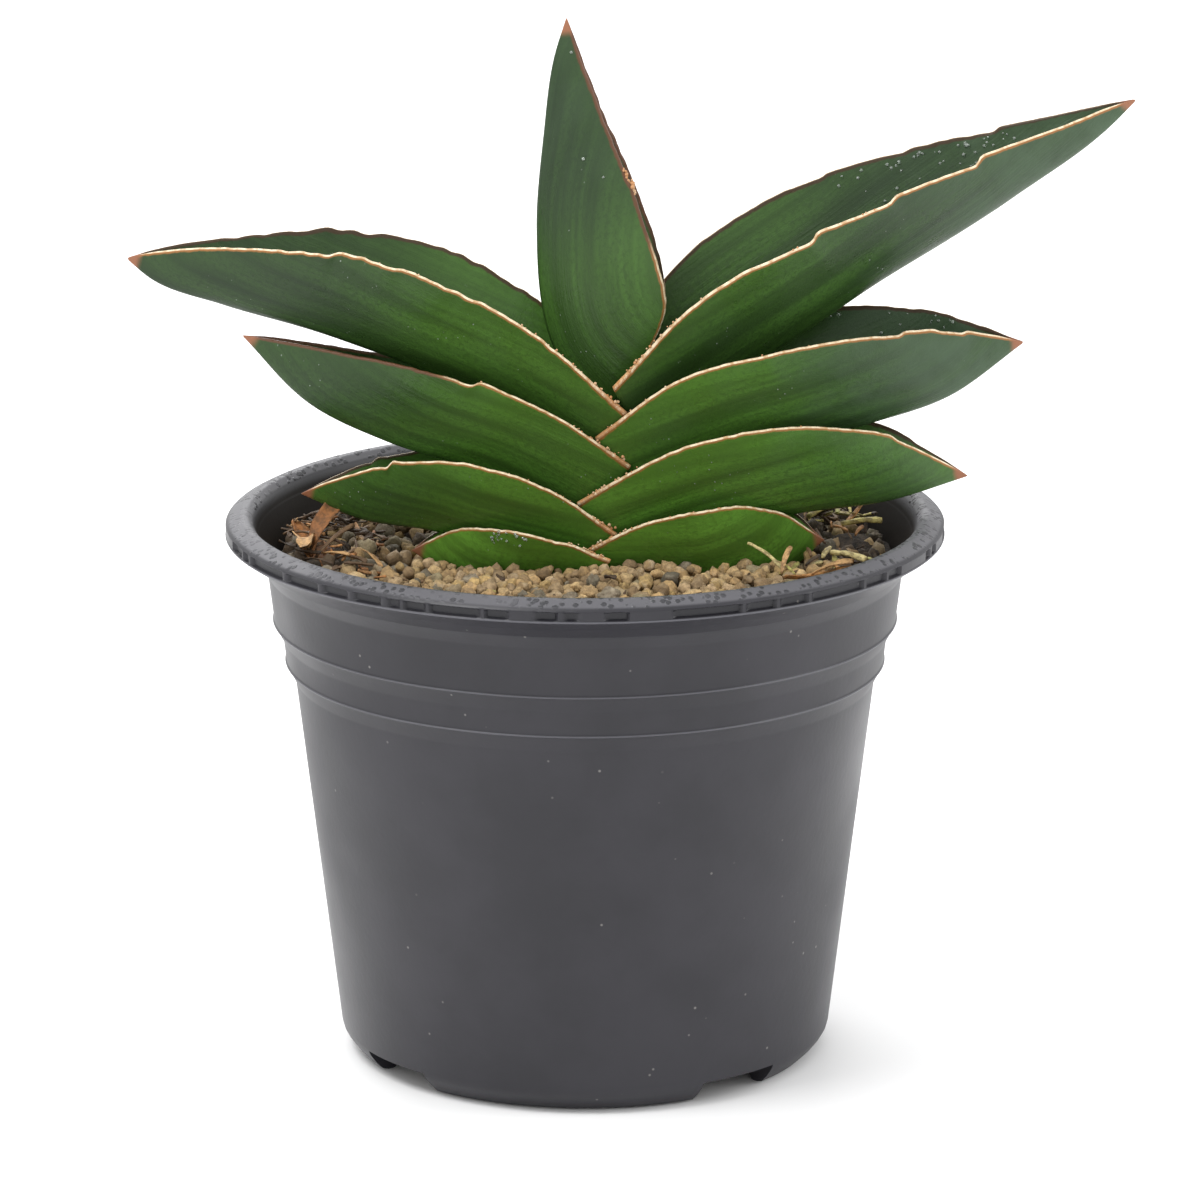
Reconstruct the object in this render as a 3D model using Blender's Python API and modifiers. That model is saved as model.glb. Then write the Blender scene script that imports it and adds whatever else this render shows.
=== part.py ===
"""A dwarf snake plant in a plastic nursery pot.

Blender 4.5, metres, +Z up.  The origin is the centre of the pot's underside.  The leaves stand in two
ranks, to the left (-X) and to the right (+X), and the front of the plant faces -Y.  Lists of points are
in millimetres and are turned into metres by MM.
"""

import math
from dataclasses import dataclass

import bmesh
import bpy
import numpy as np
from mathutils import Euler, Matrix, Vector, noise

MM = 0.001
GAP = 0.3 * MM  # clearance between pieces that touch
COLLECTION = "potted_snake_plant"

# ---- Pot -------------------------------------------------------------------------------------------
POT_HEIGHT = 92.0 * MM
RIM_RADIUS = 60.0 * MM
RIM_SKIRT = 3.0 * MM  # height of the rim's upright outer edge
RIM_FLARE = 6.0 * MM  # height of the slope under the rim's outer edge
LIP_WIDTH = 4.6 * MM  # from the rim's outer edge to its inner edge
LIP_DROP = 1.0 * MM  # how far the rim falls towards its inner edge
RIM_OVERHANG = 6.9 * MM  # from the body's outside, just below the rim, to the rim's outer edge
WALL = 1.0 * MM
BAND_ONE_HEIGHT = 8.4 * MM  # upper stacking band
BAND_TWO_HEIGHT = 4.1 * MM  # lower stacking band
BAND_STEP = 1.5 * MM  # how far the body steps in under each band
BAND_SLOPE = 3.0 * MM  # height over which it steps in
BODY_TAPER = 0.121  # radius lost for each unit of height
BASE_CORNER = 3.6 * MM
FOOT_WIDTH = 2.6 * MM
FLOOR_RISE = 2.4 * MM
FLOOR_SLOPE = 1.5 * MM
PAD_RADIUS = 12.0 * MM
DRAIN_COUNT = 4
DRAIN_START = math.radians(-51.0)  # measured from the front, positive towards +X
DRAIN_WIDTH = 15.0 * MM
DRAIN_DEPTH = 9.0 * MM  # how far each drain reaches in from the body's outside
DRAIN_HEIGHT = 4.0 * MM
POT_SIDES = 56

# ---- Soil and top dressing -------------------------------------------------------------------------
FILL_DROP = 7.5 * MM  # from the rim's top down to the gravel
GRAVEL_DEPTH = 10.0 * MM
GRAVEL_GRAIN = 5.0 * MM
GRAVEL_BUMP = 0.5 * MM
GRAVEL_RINGS = 7
FILL_SIDES = 36
SEED = 11.0

# ---- Plant -----------------------------------------------------------------------------------------
CROWN_X = 4.0 * MM  # the crown stands a little to the right of the pot's axis
CROWN_RADIUS = 5.5 * MM
CROWN_FLATNESS = 0.5  # thickness over width
CROWN_ABOVE = 25.0 * MM  # height of the crown's tip over the gravel
CROWN_BELOW = 20.0 * MM
SOCKET_RADIUS = 9.0 * MM  # the hole that the leaf bases fill in the gravel
ROOT_COUNT = 6
ROOT_RADIUS = 1.8 * MM
ROOT_SPREAD = 27.0 * MM
ROOT_DROP = 40.0 * MM
KEEL_THICKNESS = 3.6 * MM
MARGIN_THICKNESS = 1.1 * MM
CHANNEL_POWER = 1.45  # 1 is a sharp V, 2 is a round channel
STATIONS = 13
FLANK_POINTS = 3  # section points from the keel to one margin
WIDEST = 0.42  # fraction of the length where a leaf is widest
TIP_POWER = 1.3  # how quickly a leaf narrows to its tip
LAST_STATION = 0.985

LEFT, RIGHT = -1, 1


@dataclass
class Leaf:
    """One channelled leaf.

    keel and margins are its two lines in side view, from the base to a shared tip, as (distance from the
    pot's axis, height above the gravel) in millimetres.  Half widths are in millimetres too.
    """

    name: str
    side: int
    keel: tuple
    margins: tuple
    half_width: float = 11.0
    base_half_width: float = 5.2
    base_roll: float = 0.0  # degrees, positive lifts the far margin
    tip_roll: float = 0.0


# Oldest and outermost first.  Each leaf clasps the base of the next one, which grows to the other side.
LEAVES = (
    Leaf("leaf_left_1", LEFT, ((0, -7), (-8, -5.5), (-16, -5), (-23, -3), (-29, 1)),
         ((4, 1), (-5, 4.5), (-14, 5.6), (-22, 4.7), (-29, 1)), 9.5, 8, 0, -8),
    Leaf("leaf_right_1", RIGHT, ((7, -7), (15, -6), (24, -5.5), (33, -3), (40, 3)),
         ((0.5, 2), (10, 7.5), (21, 10), (31, 9), (40, 3)), 9.5, 6),
    Leaf("leaf_left_2", LEFT, ((0, -3), (-12, 1), (-25, 4.5), (-37, 6.5), (-47.5, 11)),
         ((5, 5), (-5, 12.5), (-19, 17), (-33, 16.2), (-47.5, 11)), 10.5, 6, 0, -10),
    Leaf("leaf_right_2", RIGHT, ((7, -3), (22, 4.5), (38, 8), (52, 10), (64, 14)),
         ((-1, 10), (14, 19.5), (32, 23.5), (49, 21.5), (64, 14)), 11, 5.4, 0, -6),
    Leaf("leaf_left_3", LEFT, ((0, 4), (-16, 14), (-33, 20), (-46, 26.5), (-57, 38)),
         ((7, 16), (-8, 26.5), (-26, 32), (-42, 35.5), (-57, 38)), 11, 6.1, -6, -12),
    Leaf("leaf_right_3", RIGHT, ((9, 6), (28, 17), (48, 23), (61, 27.5), (73, 37)),
         ((2, 21), (17, 33.5), (38, 39.5), (57, 40.5), (73, 37)), 11.5, 5.5, 0, 10),
    Leaf("leaf_left_4", LEFT, ((0, 14), (-18, 27), (-40, 37), (-60, 43), (-72, 47.5), (-76, 51)),
         ((7, 26), (-9, 41.5), (-32, 52), (-57, 53.5), (-72, 52), (-76, 51)), 11.5, 5.8, 5, 0),
    Leaf("leaf_right_4", RIGHT, ((10, 17), (30, 33), (52, 48.5), (71, 61), (87, 73.5), (91, 78)),
         ((4, 31), (17, 47.5), (38, 60), (65, 70), (84, 76), (91, 78)), 11.5, 5, 14, 10),
    Leaf("leaf_centre", LEFT, ((2, 23), (-6, 38), (-8, 56), (-6.8, 72), (-5, 85), (-3, 91.5)),
         ((8, 31), (13, 43), (9.5, 58), (4, 72), (-1, 85), (-3, 91.5)), 6, 1.6),
)

# ---- Loose bits on the gravel ----------------------------------------------------------------------


@dataclass
class Bit:
    """A loose bit of the gravel's surface.

    reach is its distance from the pot's axis as a share of the gravel's radius, bearing its direction in
    degrees from +X, size its length, width and height, and turn its rotation about X, Y and Z in degrees.
    """

    name: str
    reach: float
    bearing: float
    size: tuple
    turn: tuple = (0.0, 0.0, 0.0)


PEBBLES = (
    Bit("pebble_1", 0.82, -153, (4.2, 3.4, 2.8), (10, 0, 25)),
    Bit("pebble_2", 0.85, -131, (3.6, 3.0, 2.6), (0, 12, 70)),
    Bit("pebble_3", 0.82, -106, (4.0, 3.2, 2.6), (0, 0, 130)),
    Bit("pebble_4", 0.56, -82, (3.8, 3.3, 2.8), (8, 0, 10)),
    Bit("pebble_5", 0.85, -65, (4.4, 3.4, 2.6), (0, 8, 160)),
    Bit("pebble_6", 0.79, -43, (3.6, 3.1, 2.5), (0, 0, 95)),
    Bit("pebble_7", 0.75, 142, (4.4, 3.6, 3.0), (0, 10, 40)),
    Bit("pebble_8", 0.74, 76, (4.0, 3.4, 2.8), (0, 0, 115)),
)
BARK_CHIPS = (
    Bit("bark_chip_1", 0.90, 4, (7.5, 2.6, 1.5), (0, 14, 35)),
    Bit("bark_chip_2", 0.86, -9, (6.5, 2.2, 1.3), (10, 0, -25)),
    Bit("bark_chip_3", 0.81, 17, (8.0, 2.8, 1.6), (0, -10, 75)),
    Bit("bark_chip_4", 0.79, 36, (7.0, 3.0, 1.6), (0, 8, 10)),
    Bit("bark_chip_5", 0.80, 58, (8.5, 2.6, 1.5), (0, 0, 150)),
)
STRAW = Bit("dry_straw", 0.68, -29, (11.0, 1.1, 1.1), (0, -34, 205))
SCRAPS = (
    Bit("dry_scrap_left", 0.88, 184, (13.0, 6.0, 5.5), (0, 0, 78)),
    Bit("dry_scrap_right", 0.83, -25, (12.0, 3.6, 2.2), (0, 0, 28)),
)
BIT_BEVEL = 0.35 * MM
SCRAP_THICKNESS = 0.6 * MM

# ---- Colours (linear) and surface ------------------------------------------------------------------
POT_GREY = (0.072, 0.071, 0.079, 1.0)
SOIL_BROWN = (0.030, 0.021, 0.014, 1.0)
GRAVEL_TAN = (0.36, 0.27, 0.17, 1.0)
ROOT_CREAM = (0.55, 0.42, 0.26, 1.0)
LEAF_GREEN = (0.035, 0.105, 0.026, 1.0)
PEBBLE_GREY = (0.30, 0.25, 0.18, 1.0)
BARK_OLIVE = (0.33, 0.25, 0.08, 1.0)
DRY_ORANGE = (0.42, 0.19, 0.06, 1.0)
SHARP_ANGLE = math.radians(35)


# ---- Helpers ---------------------------------------------------------------------------------------
def clear_scene():
    for old in list(bpy.data.objects):
        bpy.data.objects.remove(old, do_unlink=True)


def new_collection(name):
    collection = bpy.data.collections.new(name)
    bpy.context.scene.collection.children.link(collection)
    return collection


def new_material(name, colour, roughness):
    material = bpy.data.materials.new(name)
    material.use_nodes = True
    surface = material.node_tree.nodes["Principled BSDF"]
    surface.inputs["Base Color"].default_value = colour
    surface.inputs["Roughness"].default_value = roughness
    surface.inputs["Metallic"].default_value = 0.0
    return material


def object_from_bmesh(name, shape, collection, material=None):
    mesh = bpy.data.meshes.new(name)
    bmesh.ops.recalc_face_normals(shape, faces=shape.faces[:])
    shape.to_mesh(mesh)
    shape.free()
    mesh.shade_smooth()
    mesh.set_sharp_from_angle(angle=SHARP_ANGLE)
    if material:
        mesh.materials.append(material)
    made = bpy.data.objects.new(name, mesh)
    collection.objects.link(made)
    return made


def as_cutter(made):
    made.hide_render = True
    made.display_type = "WIRE"
    return made


def boolean(target, other, operation="DIFFERENCE"):
    change = target.modifiers.new(operation.lower() + "_" + other.name, "BOOLEAN")
    change.operation = operation
    change.solver = "EXACT"
    change.object = other


def baked(made, collection, name):
    """A plain mesh object with the first object's modifiers worked in; the first object goes."""
    bpy.context.view_layer.update()
    evaluated = made.evaluated_get(bpy.context.evaluated_depsgraph_get())
    mesh = bpy.data.meshes.new_from_object(evaluated)
    shape = bmesh.new()
    shape.from_mesh(mesh)
    shape.transform(made.matrix_world)
    bmesh.ops.remove_doubles(shape, verts=shape.verts[:], dist=0.01 * MM)
    bpy.data.objects.remove(made, do_unlink=True)
    return object_from_bmesh(name, shape, collection)


def turned(name, profile, sides, collection, material):
    """A solid turned about Z from (radius, height) points that run down the outside and back."""
    shape = bmesh.new()
    points = [shape.verts.new((radius, 0.0, height)) for radius, height in profile]
    for first, second in zip(points, points[1:]):
        shape.edges.new((first, second))
    mesh = bpy.data.meshes.new(name)
    shape.to_mesh(mesh)
    shape.free()
    mesh.materials.append(material)
    made = bpy.data.objects.new(name, mesh)
    collection.objects.link(made)
    screw = made.modifiers.new("turn", "SCREW")
    screw.axis = "Z"
    screw.steps = sides
    screw.render_steps = sides
    screw.use_merge_vertices = True
    screw.merge_threshold = 0.01 * MM
    screw.use_smooth_shade = True
    return made


def smooth_point(points, fraction):
    """The point a fraction of the way along a smooth curve through the points."""
    points = np.array(points, dtype=float)
    steps = np.linalg.norm(np.diff(points, axis=0), axis=1)
    knots = np.concatenate(([0.0], np.cumsum(steps))) / steps.sum()
    slopes = np.gradient(points, knots, axis=0)
    index = int(np.clip(np.searchsorted(knots, fraction, side="right") - 1, 0, len(points) - 2))
    span = knots[index + 1] - knots[index]
    t = (fraction - knots[index]) / span
    return (
        points[index] * (2 * t**3 - 3 * t**2 + 1)
        + points[index + 1] * (3 * t**2 - 2 * t**3)
        + slopes[index] * span * (t**3 - 2 * t**2 + t)
        + slopes[index + 1] * span * (t**3 - t**2)
    )


def gravel_level():
    return POT_HEIGHT - FILL_DROP


def body_radius():
    """Outside radius of the body, just below the rim."""
    return RIM_RADIUS - RIM_OVERHANG


# ---- Pot -------------------------------------------------------------------------------------------
def body_line():
    """The outside of the pot's body as (radius, height), from under the rim down to the base corner."""
    height = POT_HEIGHT - RIM_SKIRT - RIM_FLARE
    radius = body_radius()
    line = [(radius, height)]
    for band in (BAND_ONE_HEIGHT, BAND_TWO_HEIGHT):
        height -= band
        radius -= BODY_TAPER * band
        line.append((radius, height))
        height -= BAND_SLOPE
        radius -= BAND_STEP
        line.append((radius, height))
    radius -= BODY_TAPER * (height - BASE_CORNER)
    line.append((radius, BASE_CORNER))
    return line


def inside_radius(height):
    """Radius of the pot's inner wall at a height."""
    radii, heights = zip(*reversed(body_line()))
    return float(np.interp(height, heights, radii)) - WALL


def inside_line(top, bottom, clearance):
    """The inner wall, less a clearance, as (radius, height) between two heights."""
    steps = [height for _, height in body_line() if bottom < height < top]
    return [(inside_radius(height) - clearance, height) for height in (top, *steps, bottom)]


def base_radius():
    return body_line()[-1][0]


def make_pot(collection, cutters, material):
    top = POT_HEIGHT
    lip_radius = RIM_RADIUS - LIP_WIDTH
    skirt = top - RIM_SKIRT
    body = body_line()
    corner = base_radius()
    foot_outer = corner - BASE_CORNER * 0.8
    foot_inner = foot_outer - FOOT_WIDTH
    profile = [
        (lip_radius, top - LIP_DROP),
        (lip_radius + 0.3 * LIP_WIDTH, top - 0.2 * LIP_DROP),
        (RIM_RADIUS - 0.3 * LIP_WIDTH, top),
        (RIM_RADIUS - 0.06 * LIP_WIDTH, top - 0.15 * RIM_SKIRT),
        (RIM_RADIUS, top - 0.4 * RIM_SKIRT),
        (RIM_RADIUS - 0.05 * LIP_WIDTH, skirt),
        (RIM_RADIUS - 0.45 * LIP_WIDTH, skirt - 0.3 * RIM_FLARE),
        (body_radius() + 0.35 * LIP_WIDTH, skirt - 0.62 * RIM_FLARE),
        *body,
        (corner - 0.08 * BASE_CORNER, 0.6 * BASE_CORNER),
        (corner - 0.32 * BASE_CORNER, 0.22 * BASE_CORNER),
        (foot_outer, 0.0),
        (foot_inner, 0.0),
        (foot_inner - FLOOR_SLOPE, FLOOR_RISE),
        (PAD_RADIUS + FLOOR_SLOPE, FLOOR_RISE),
        (PAD_RADIUS, 0.0),
        (0.0, 0.0),
    ]
    profile += [
        (0.0, WALL),
        (PAD_RADIUS - 0.5 * WALL, WALL),
        (PAD_RADIUS + FLOOR_SLOPE - 0.5 * WALL, FLOOR_RISE + WALL),
        (corner - WALL - 0.4 * BASE_CORNER, FLOOR_RISE + WALL),
        (corner - WALL, FLOOR_RISE + WALL + 0.4 * BASE_CORNER),
    ]
    profile += [(radius - WALL, height) for radius, height in reversed(body[:-1])]
    profile.append((lip_radius - 0.5 * WALL, top - LIP_DROP - 0.3 * RIM_SKIRT))
    profile.append(profile[0])
    pot = turned("pot", profile, POT_SIDES, collection, material)
    for index in range(DRAIN_COUNT):
        turn = DRAIN_START + index * math.tau / DRAIN_COUNT
        boolean(pot, make_drain_cutter(index, turn, cutters))
    return pot


def make_drain_cutter(index, turn, cutters):
    """A block that opens the pot's bottom corner, from the outside to the soil."""
    proud = 2.0 * MM
    shape = bmesh.new()
    bmesh.ops.create_cube(shape, size=1.0)
    size = Vector((DRAIN_WIDTH, DRAIN_DEPTH + proud, DRAIN_HEIGHT + proud))
    bmesh.ops.scale(shape, vec=size, verts=shape.verts[:])
    cutter = as_cutter(object_from_bmesh(f"drain_cutter_{index + 1}", shape, cutters))
    reach = base_radius() + proud - 0.5 * size.y
    cutter.location = (math.sin(turn) * reach, -math.cos(turn) * reach, DRAIN_HEIGHT - 0.5 * size.z)
    cutter.rotation_euler = (0.0, 0.0, turn)
    return cutter


# ---- Leaves ----------------------------------------------------------------------------------------
def half_width_at(leaf, fraction):
    """Half the distance between the margins, at a fraction of the length."""
    if fraction < WIDEST:
        rise = math.sin(0.5 * math.pi * fraction / WIDEST)
        return MM * (leaf.base_half_width + (leaf.half_width - leaf.base_half_width) * rise)
    narrowing = ((fraction - WIDEST) / (1.0 - WIDEST)) ** TIP_POWER
    return MM * leaf.half_width * (1.0 - narrowing)


def leaf_frame(leaf, fraction):
    """Keel point, direction from keel to margins, sideways direction and depth at a fraction."""
    keel = MM * smooth_point(leaf.keel, fraction)
    margin = MM * smooth_point(leaf.margins, fraction)
    ahead = MM * smooth_point(leaf.keel, min(fraction + 0.02, 1.0))
    level = gravel_level()
    keel_point = Vector((keel[0], 0.0, keel[1] + level))
    margin_point = Vector((margin[0], 0.0, margin[1] + level))
    along = Vector((ahead[0] - keel[0], 0.0, ahead[1] - keel[1]))
    up = margin_point - keel_point
    depth = up.length
    up.normalize()
    side = Vector((0.0, 1.0, 0.0))
    roll = math.radians(leaf.base_roll + (leaf.tip_roll - leaf.base_roll) * fraction)
    if roll:
        turn = Matrix.Rotation(roll * leaf.side, 3, along.normalized())
        middle = (keel_point + margin_point) * 0.5
        keel_point = middle + turn @ (keel_point - middle)
        up = turn @ up
        side = turn @ side
    return keel_point, up, side, depth


def channel_curve(half_width, depth, shift, clearance):
    """Points (sideways, up) across a channel, from margin to margin, moved out by a clearance."""
    points = []
    for step in range(-FLANK_POINTS, FLANK_POINTS + 1):
        share = step / FLANK_POINTS
        slope = CHANNEL_POWER * (depth - shift) * abs(share) ** (CHANNEL_POWER - 1.0) / half_width
        lean = 1.0 / math.hypot(1.0, slope)
        out = math.copysign(slope * lean, share) if step else 0.0
        points.append((
            half_width * share + clearance * out,
            shift + (depth - shift) * abs(share) ** CHANNEL_POWER - clearance * lean,
        ))
    return points


def leaf_shape(leaf, clearance=0.0, filled=False):
    """The leaf as a loft of channel sections; filled has no hollow, for cutting its neighbours."""
    shape = bmesh.new()
    rings = []
    for station in range(STATIONS):
        fraction = LAST_STATION * station / (STATIONS - 1)
        origin, up, side, depth = leaf_frame(leaf, fraction)
        half_width = half_width_at(leaf, fraction)
        section = channel_curve(half_width, depth, 0.0, clearance)
        if not filled:
            keel = min(KEEL_THICKNESS, 0.55 * depth)
            margin = min(MARGIN_THICKNESS, 0.45 * half_width)
            section += reversed(channel_curve(half_width - margin, depth, keel, 0.0))
        rings.append([shape.verts.new(origin + side * v + up * h) for v, h in section])
    for ring, following in zip(rings, rings[1:]):
        for index in range(len(ring)):
            after = (index + 1) % len(ring)
            shape.faces.new((ring[index], ring[after], following[after], following[index]))
    shape.faces.new(reversed(rings[0]))
    origin, up, side, depth = leaf_frame(leaf, 1.0)
    tip = shape.verts.new(origin)
    last = rings[-1]
    for index in range(len(last)):
        shape.faces.new((last[index], last[(index + 1) % len(last)], tip))
    bmesh.ops.triangulate(shape, faces=shape.faces[:])
    return shape


def make_wedges(cutters):
    """Each leaf's outer shape with its channel filled, grown by the clearance, to cut what it presses."""
    wedges = {}
    for leaf in LEAVES:
        wedge = object_from_bmesh(leaf.name + "_wedge", leaf_shape(leaf, GAP, True), cutters)
        wedges[leaf.name] = as_cutter(wedge)
    return wedges


def make_leaves(collection, cutters, wedges):
    """The leaves, each trimmed by the crown and by the next leaf, whose base it clasps."""
    stem = as_cutter(crown_column("stem_cutter", GAP, cutters))
    for leaf, inner in zip(LEAVES, (*LEAVES[1:], None)):
        material = new_material(leaf.name, LEAF_GREEN, 0.32)
        made = object_from_bmesh(leaf.name, leaf_shape(leaf), collection, material)
        boolean(made, stem)
        if inner:
            boolean(made, wedges[inner.name])


# ---- Rootstock -------------------------------------------------------------------------------------
def crown_column(name, clearance, collection, radius=CROWN_RADIUS, top=CROWN_ABOVE):
    """The flattened stem that carries the leaves, tapering to a tip above and a stub below."""
    level = gravel_level()
    sides = 20
    rows = (
        (level - CROWN_BELOW, 0.55),
        (level - 0.8 * CROWN_BELOW, 1.0),
        (level + 0.2 * top, 1.0),
        (level + 0.8 * top, 0.72),
        (level + top, 0.35),
    )
    shape = bmesh.new()
    rings = []
    for index, (height, share) in enumerate(rows):
        end = clearance * (-1 if index == 0 else 1 if index == len(rows) - 1 else 0)
        reach = radius * share + clearance
        flat = radius * CROWN_FLATNESS * share + clearance
        ring = []
        for side in range(sides):
            angle = side * math.tau / sides
            place = (CROWN_X + reach * math.cos(angle), flat * math.sin(angle), height + end)
            ring.append(shape.verts.new(place))
        rings.append(ring)
    for ring, following in zip(rings, rings[1:]):
        for index in range(sides):
            after = (index + 1) % sides
            shape.faces.new((ring[index], ring[after], following[after], following[index]))
    shape.faces.new(reversed(rings[0]))
    shape.faces.new(rings[-1])
    return object_from_bmesh(name, shape, collection)


def make_root(name, index, clearance, collection):
    """One fleshy root as a tube that arches out and down from the foot of the crown."""
    turn = math.tau * (index + 0.35) / ROOT_COUNT
    start = Vector((CROWN_X, 0.0, gravel_level() - 0.8 * CROWN_BELOW))
    out = Vector((math.cos(turn), math.sin(turn), 0.0))
    reach = ROOT_SPREAD * (0.8 + 0.2 * math.cos(2.3 * index))
    drop = ROOT_DROP * (0.85 + 0.15 * math.sin(1.7 * index))
    curve = bpy.data.curves.new(name, "CURVE")
    curve.dimensions = "3D"
    curve.bevel_depth = ROOT_RADIUS + clearance
    curve.bevel_resolution = 1
    curve.use_fill_caps = True
    spline = curve.splines.new("POLY")
    count = 8
    spline.points.add(count - 1)
    for step, point in enumerate(spline.points):
        share = step / (count - 1)
        place = start + out * reach * share**0.8 - Vector((0.0, 0.0, drop * share**1.6))
        if step == count - 1:
            place -= Vector((0.0, 0.0, clearance))
        point.co = (*place, 1.0)
        point.radius = 1.0 - 0.45 * share
    tube = bpy.data.objects.new(name, curve)
    collection.objects.link(tube)
    return baked(tube, collection, name)


def make_rootstock(name, clearance, collection, cutters):
    """Crown and roots joined into one solid."""
    stock = crown_column(name, clearance, collection)
    for index in range(ROOT_COUNT):
        root = make_root(f"{name}_root_{index + 1}", index, clearance, cutters)
        boolean(stock, as_cutter(root), "UNION")
    return stock


# ---- Soil and gravel -------------------------------------------------------------------------------
def make_soil(collection, material, hollow):
    top = gravel_level() - GRAVEL_DEPTH - GAP
    bottom = FLOOR_RISE + WALL + GAP
    foot = BASE_CORNER + FLOOR_RISE + WALL
    side = inside_line(top, foot, GAP)
    corner = inside_radius(bottom) - GAP
    profile = [(0.0, top), *side, (corner - 0.75 * BASE_CORNER, bottom), (0.0, bottom)]
    soil = turned("soil", profile, FILL_SIDES, collection, material)
    boolean(soil, hollow)
    return soil


def gravel_height(x, y):
    """The uneven top of the gravel."""
    place = Vector((x / GRAVEL_GRAIN, y / GRAVEL_GRAIN, SEED))
    return gravel_level() + GRAVEL_BUMP * max(-1.0, min(1.0, 1.6 * noise.noise(place)))


def make_gravel(collection, cutters, material, hollow, wedges):
    """A disc with an uneven top, cut to clear the crown and the buried leaf bases."""
    shape = bmesh.new()
    bottom = gravel_level() - GRAVEL_DEPTH
    side = inside_line(gravel_level() - GRAVEL_BUMP, bottom, GAP)
    top_radius = side[0][0]
    angles = [math.tau * index / FILL_SIDES for index in range(FILL_SIDES)]
    rings = []
    for row in range(1, GRAVEL_RINGS + 1):
        radius = top_radius * row / GRAVEL_RINGS
        ring = []
        for angle in angles:
            x = radius * math.cos(angle)
            y = radius * math.sin(angle)
            height = gravel_height(x, y) if row < GRAVEL_RINGS else side[0][1]
            ring.append(shape.verts.new((x, y, height)))
        rings.append(ring)
    for radius, height in side[1:]:
        rings.append([shape.verts.new((radius * math.cos(a), radius * math.sin(a), height)) for a in angles])
    for ring, following in zip(rings, rings[1:]):
        for index in range(FILL_SIDES):
            after = (index + 1) % FILL_SIDES
            shape.faces.new((ring[index], ring[after], following[after], following[index]))
    middle = shape.verts.new((0.0, 0.0, gravel_height(0.0, 0.0)))
    for index in range(FILL_SIDES):
        shape.faces.new((middle, rings[0][(index + 1) % FILL_SIDES], rings[0][index]))
    shape.faces.new(rings[-1])
    gravel = object_from_bmesh("gravel_dressing", shape, collection, material)
    for leaf in LEAVES:
        lowest = min(height for _, height in leaf.keel)
        if lowest * MM < GRAVEL_BUMP + GAP:
            boolean(gravel, wedges[leaf.name])
    socket = crown_column("socket_cutter", GAP, cutters, radius=SOCKET_RADIUS)
    boolean(gravel, as_cutter(socket))
    boolean(gravel, hollow)
    return gravel


# ---- Loose bits ------------------------------------------------------------------------------------
def rest_on_gravel(made, bit):
    """Turn a bit, then set it down on the gravel's highest bumps."""
    turn = Euler([math.radians(angle) for angle in bit.turn])
    made.rotation_euler = turn
    lowest = min((turn.to_matrix() @ vertex.co).z for vertex in made.data.vertices)
    reach = bit.reach * (inside_radius(gravel_level()) - GAP)
    bearing = math.radians(bit.bearing)
    height = gravel_level() + GRAVEL_BUMP + GAP - lowest
    made.location = (reach * math.cos(bearing), reach * math.sin(bearing), height)


def make_pebble(bit, index, collection):
    shape = bmesh.new()
    bmesh.ops.create_icosphere(shape, subdivisions=2, radius=0.5)
    for vertex in shape.verts:
        vertex.co *= 1.0 + 0.22 * noise.noise(vertex.co * 2.2 + Vector((SEED, index, 0.0)))
    bmesh.ops.scale(shape, vec=Vector(bit.size) * MM, verts=shape.verts[:])
    material = new_material(bit.name, PEBBLE_GREY, 0.8)
    rest_on_gravel(object_from_bmesh(bit.name, shape, collection, material), bit)


def make_chip(bit, collection, colour):
    """A splinter: a bevelled block whose far end is drawn in."""
    shape = bmesh.new()
    bmesh.ops.create_cube(shape, size=1.0)
    lengthwise = [edge for edge in shape.edges if edge.verts[0].co.x * edge.verts[1].co.x < 0.0]
    bmesh.ops.subdivide_edges(shape, edges=lengthwise, cuts=3)
    for vertex in shape.verts:
        share = vertex.co.x + 0.5
        vertex.co.y *= 1.0 - 0.45 * share
        vertex.co.z += 0.25 * math.sin(math.pi * share)
    bmesh.ops.scale(shape, vec=Vector(bit.size) * MM, verts=shape.verts[:])
    material = new_material(bit.name, colour, 0.7)
    made = object_from_bmesh(bit.name, shape, collection, material)
    bevel = made.modifiers.new("edges", "BEVEL")
    bevel.width = BIT_BEVEL
    bevel.segments = 1
    bevel.limit_method = "ANGLE"
    rest_on_gravel(made, bit)


def make_scrap(bit, collection):
    """A curled scrap of dead leaf: an arched, twisted strip with some thickness."""
    across, along = 4, 8
    length, width, height = bit.size
    shape = bmesh.new()
    rows = []
    for row in range(along + 1):
        share = row / along
        taper = 1.0 - 0.7 * share**2
        row_points = []
        for column in range(across + 1):
            offset = column / across - 0.5
            x = length * (share - 0.5)
            y = width * taper * offset + 0.12 * width * math.sin(5.0 * share)
            z = height * (0.35 * math.sin(math.pi * share) + 1.3 * taper * offset**2 + 0.25 * share)
            row_points.append(shape.verts.new(Vector((x, y, z)) * MM))
        rows.append(row_points)
    for row, following in zip(rows, rows[1:]):
        for index in range(across):
            shape.faces.new((row[index], row[index + 1], following[index + 1], following[index]))
    material = new_material(bit.name, DRY_ORANGE, 0.75)
    made = object_from_bmesh(bit.name, shape, collection, material)
    thicken = made.modifiers.new("thickness", "SOLIDIFY")
    thicken.thickness = SCRAP_THICKNESS
    thicken.offset = 1.0
    rest_on_gravel(made, bit)


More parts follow.
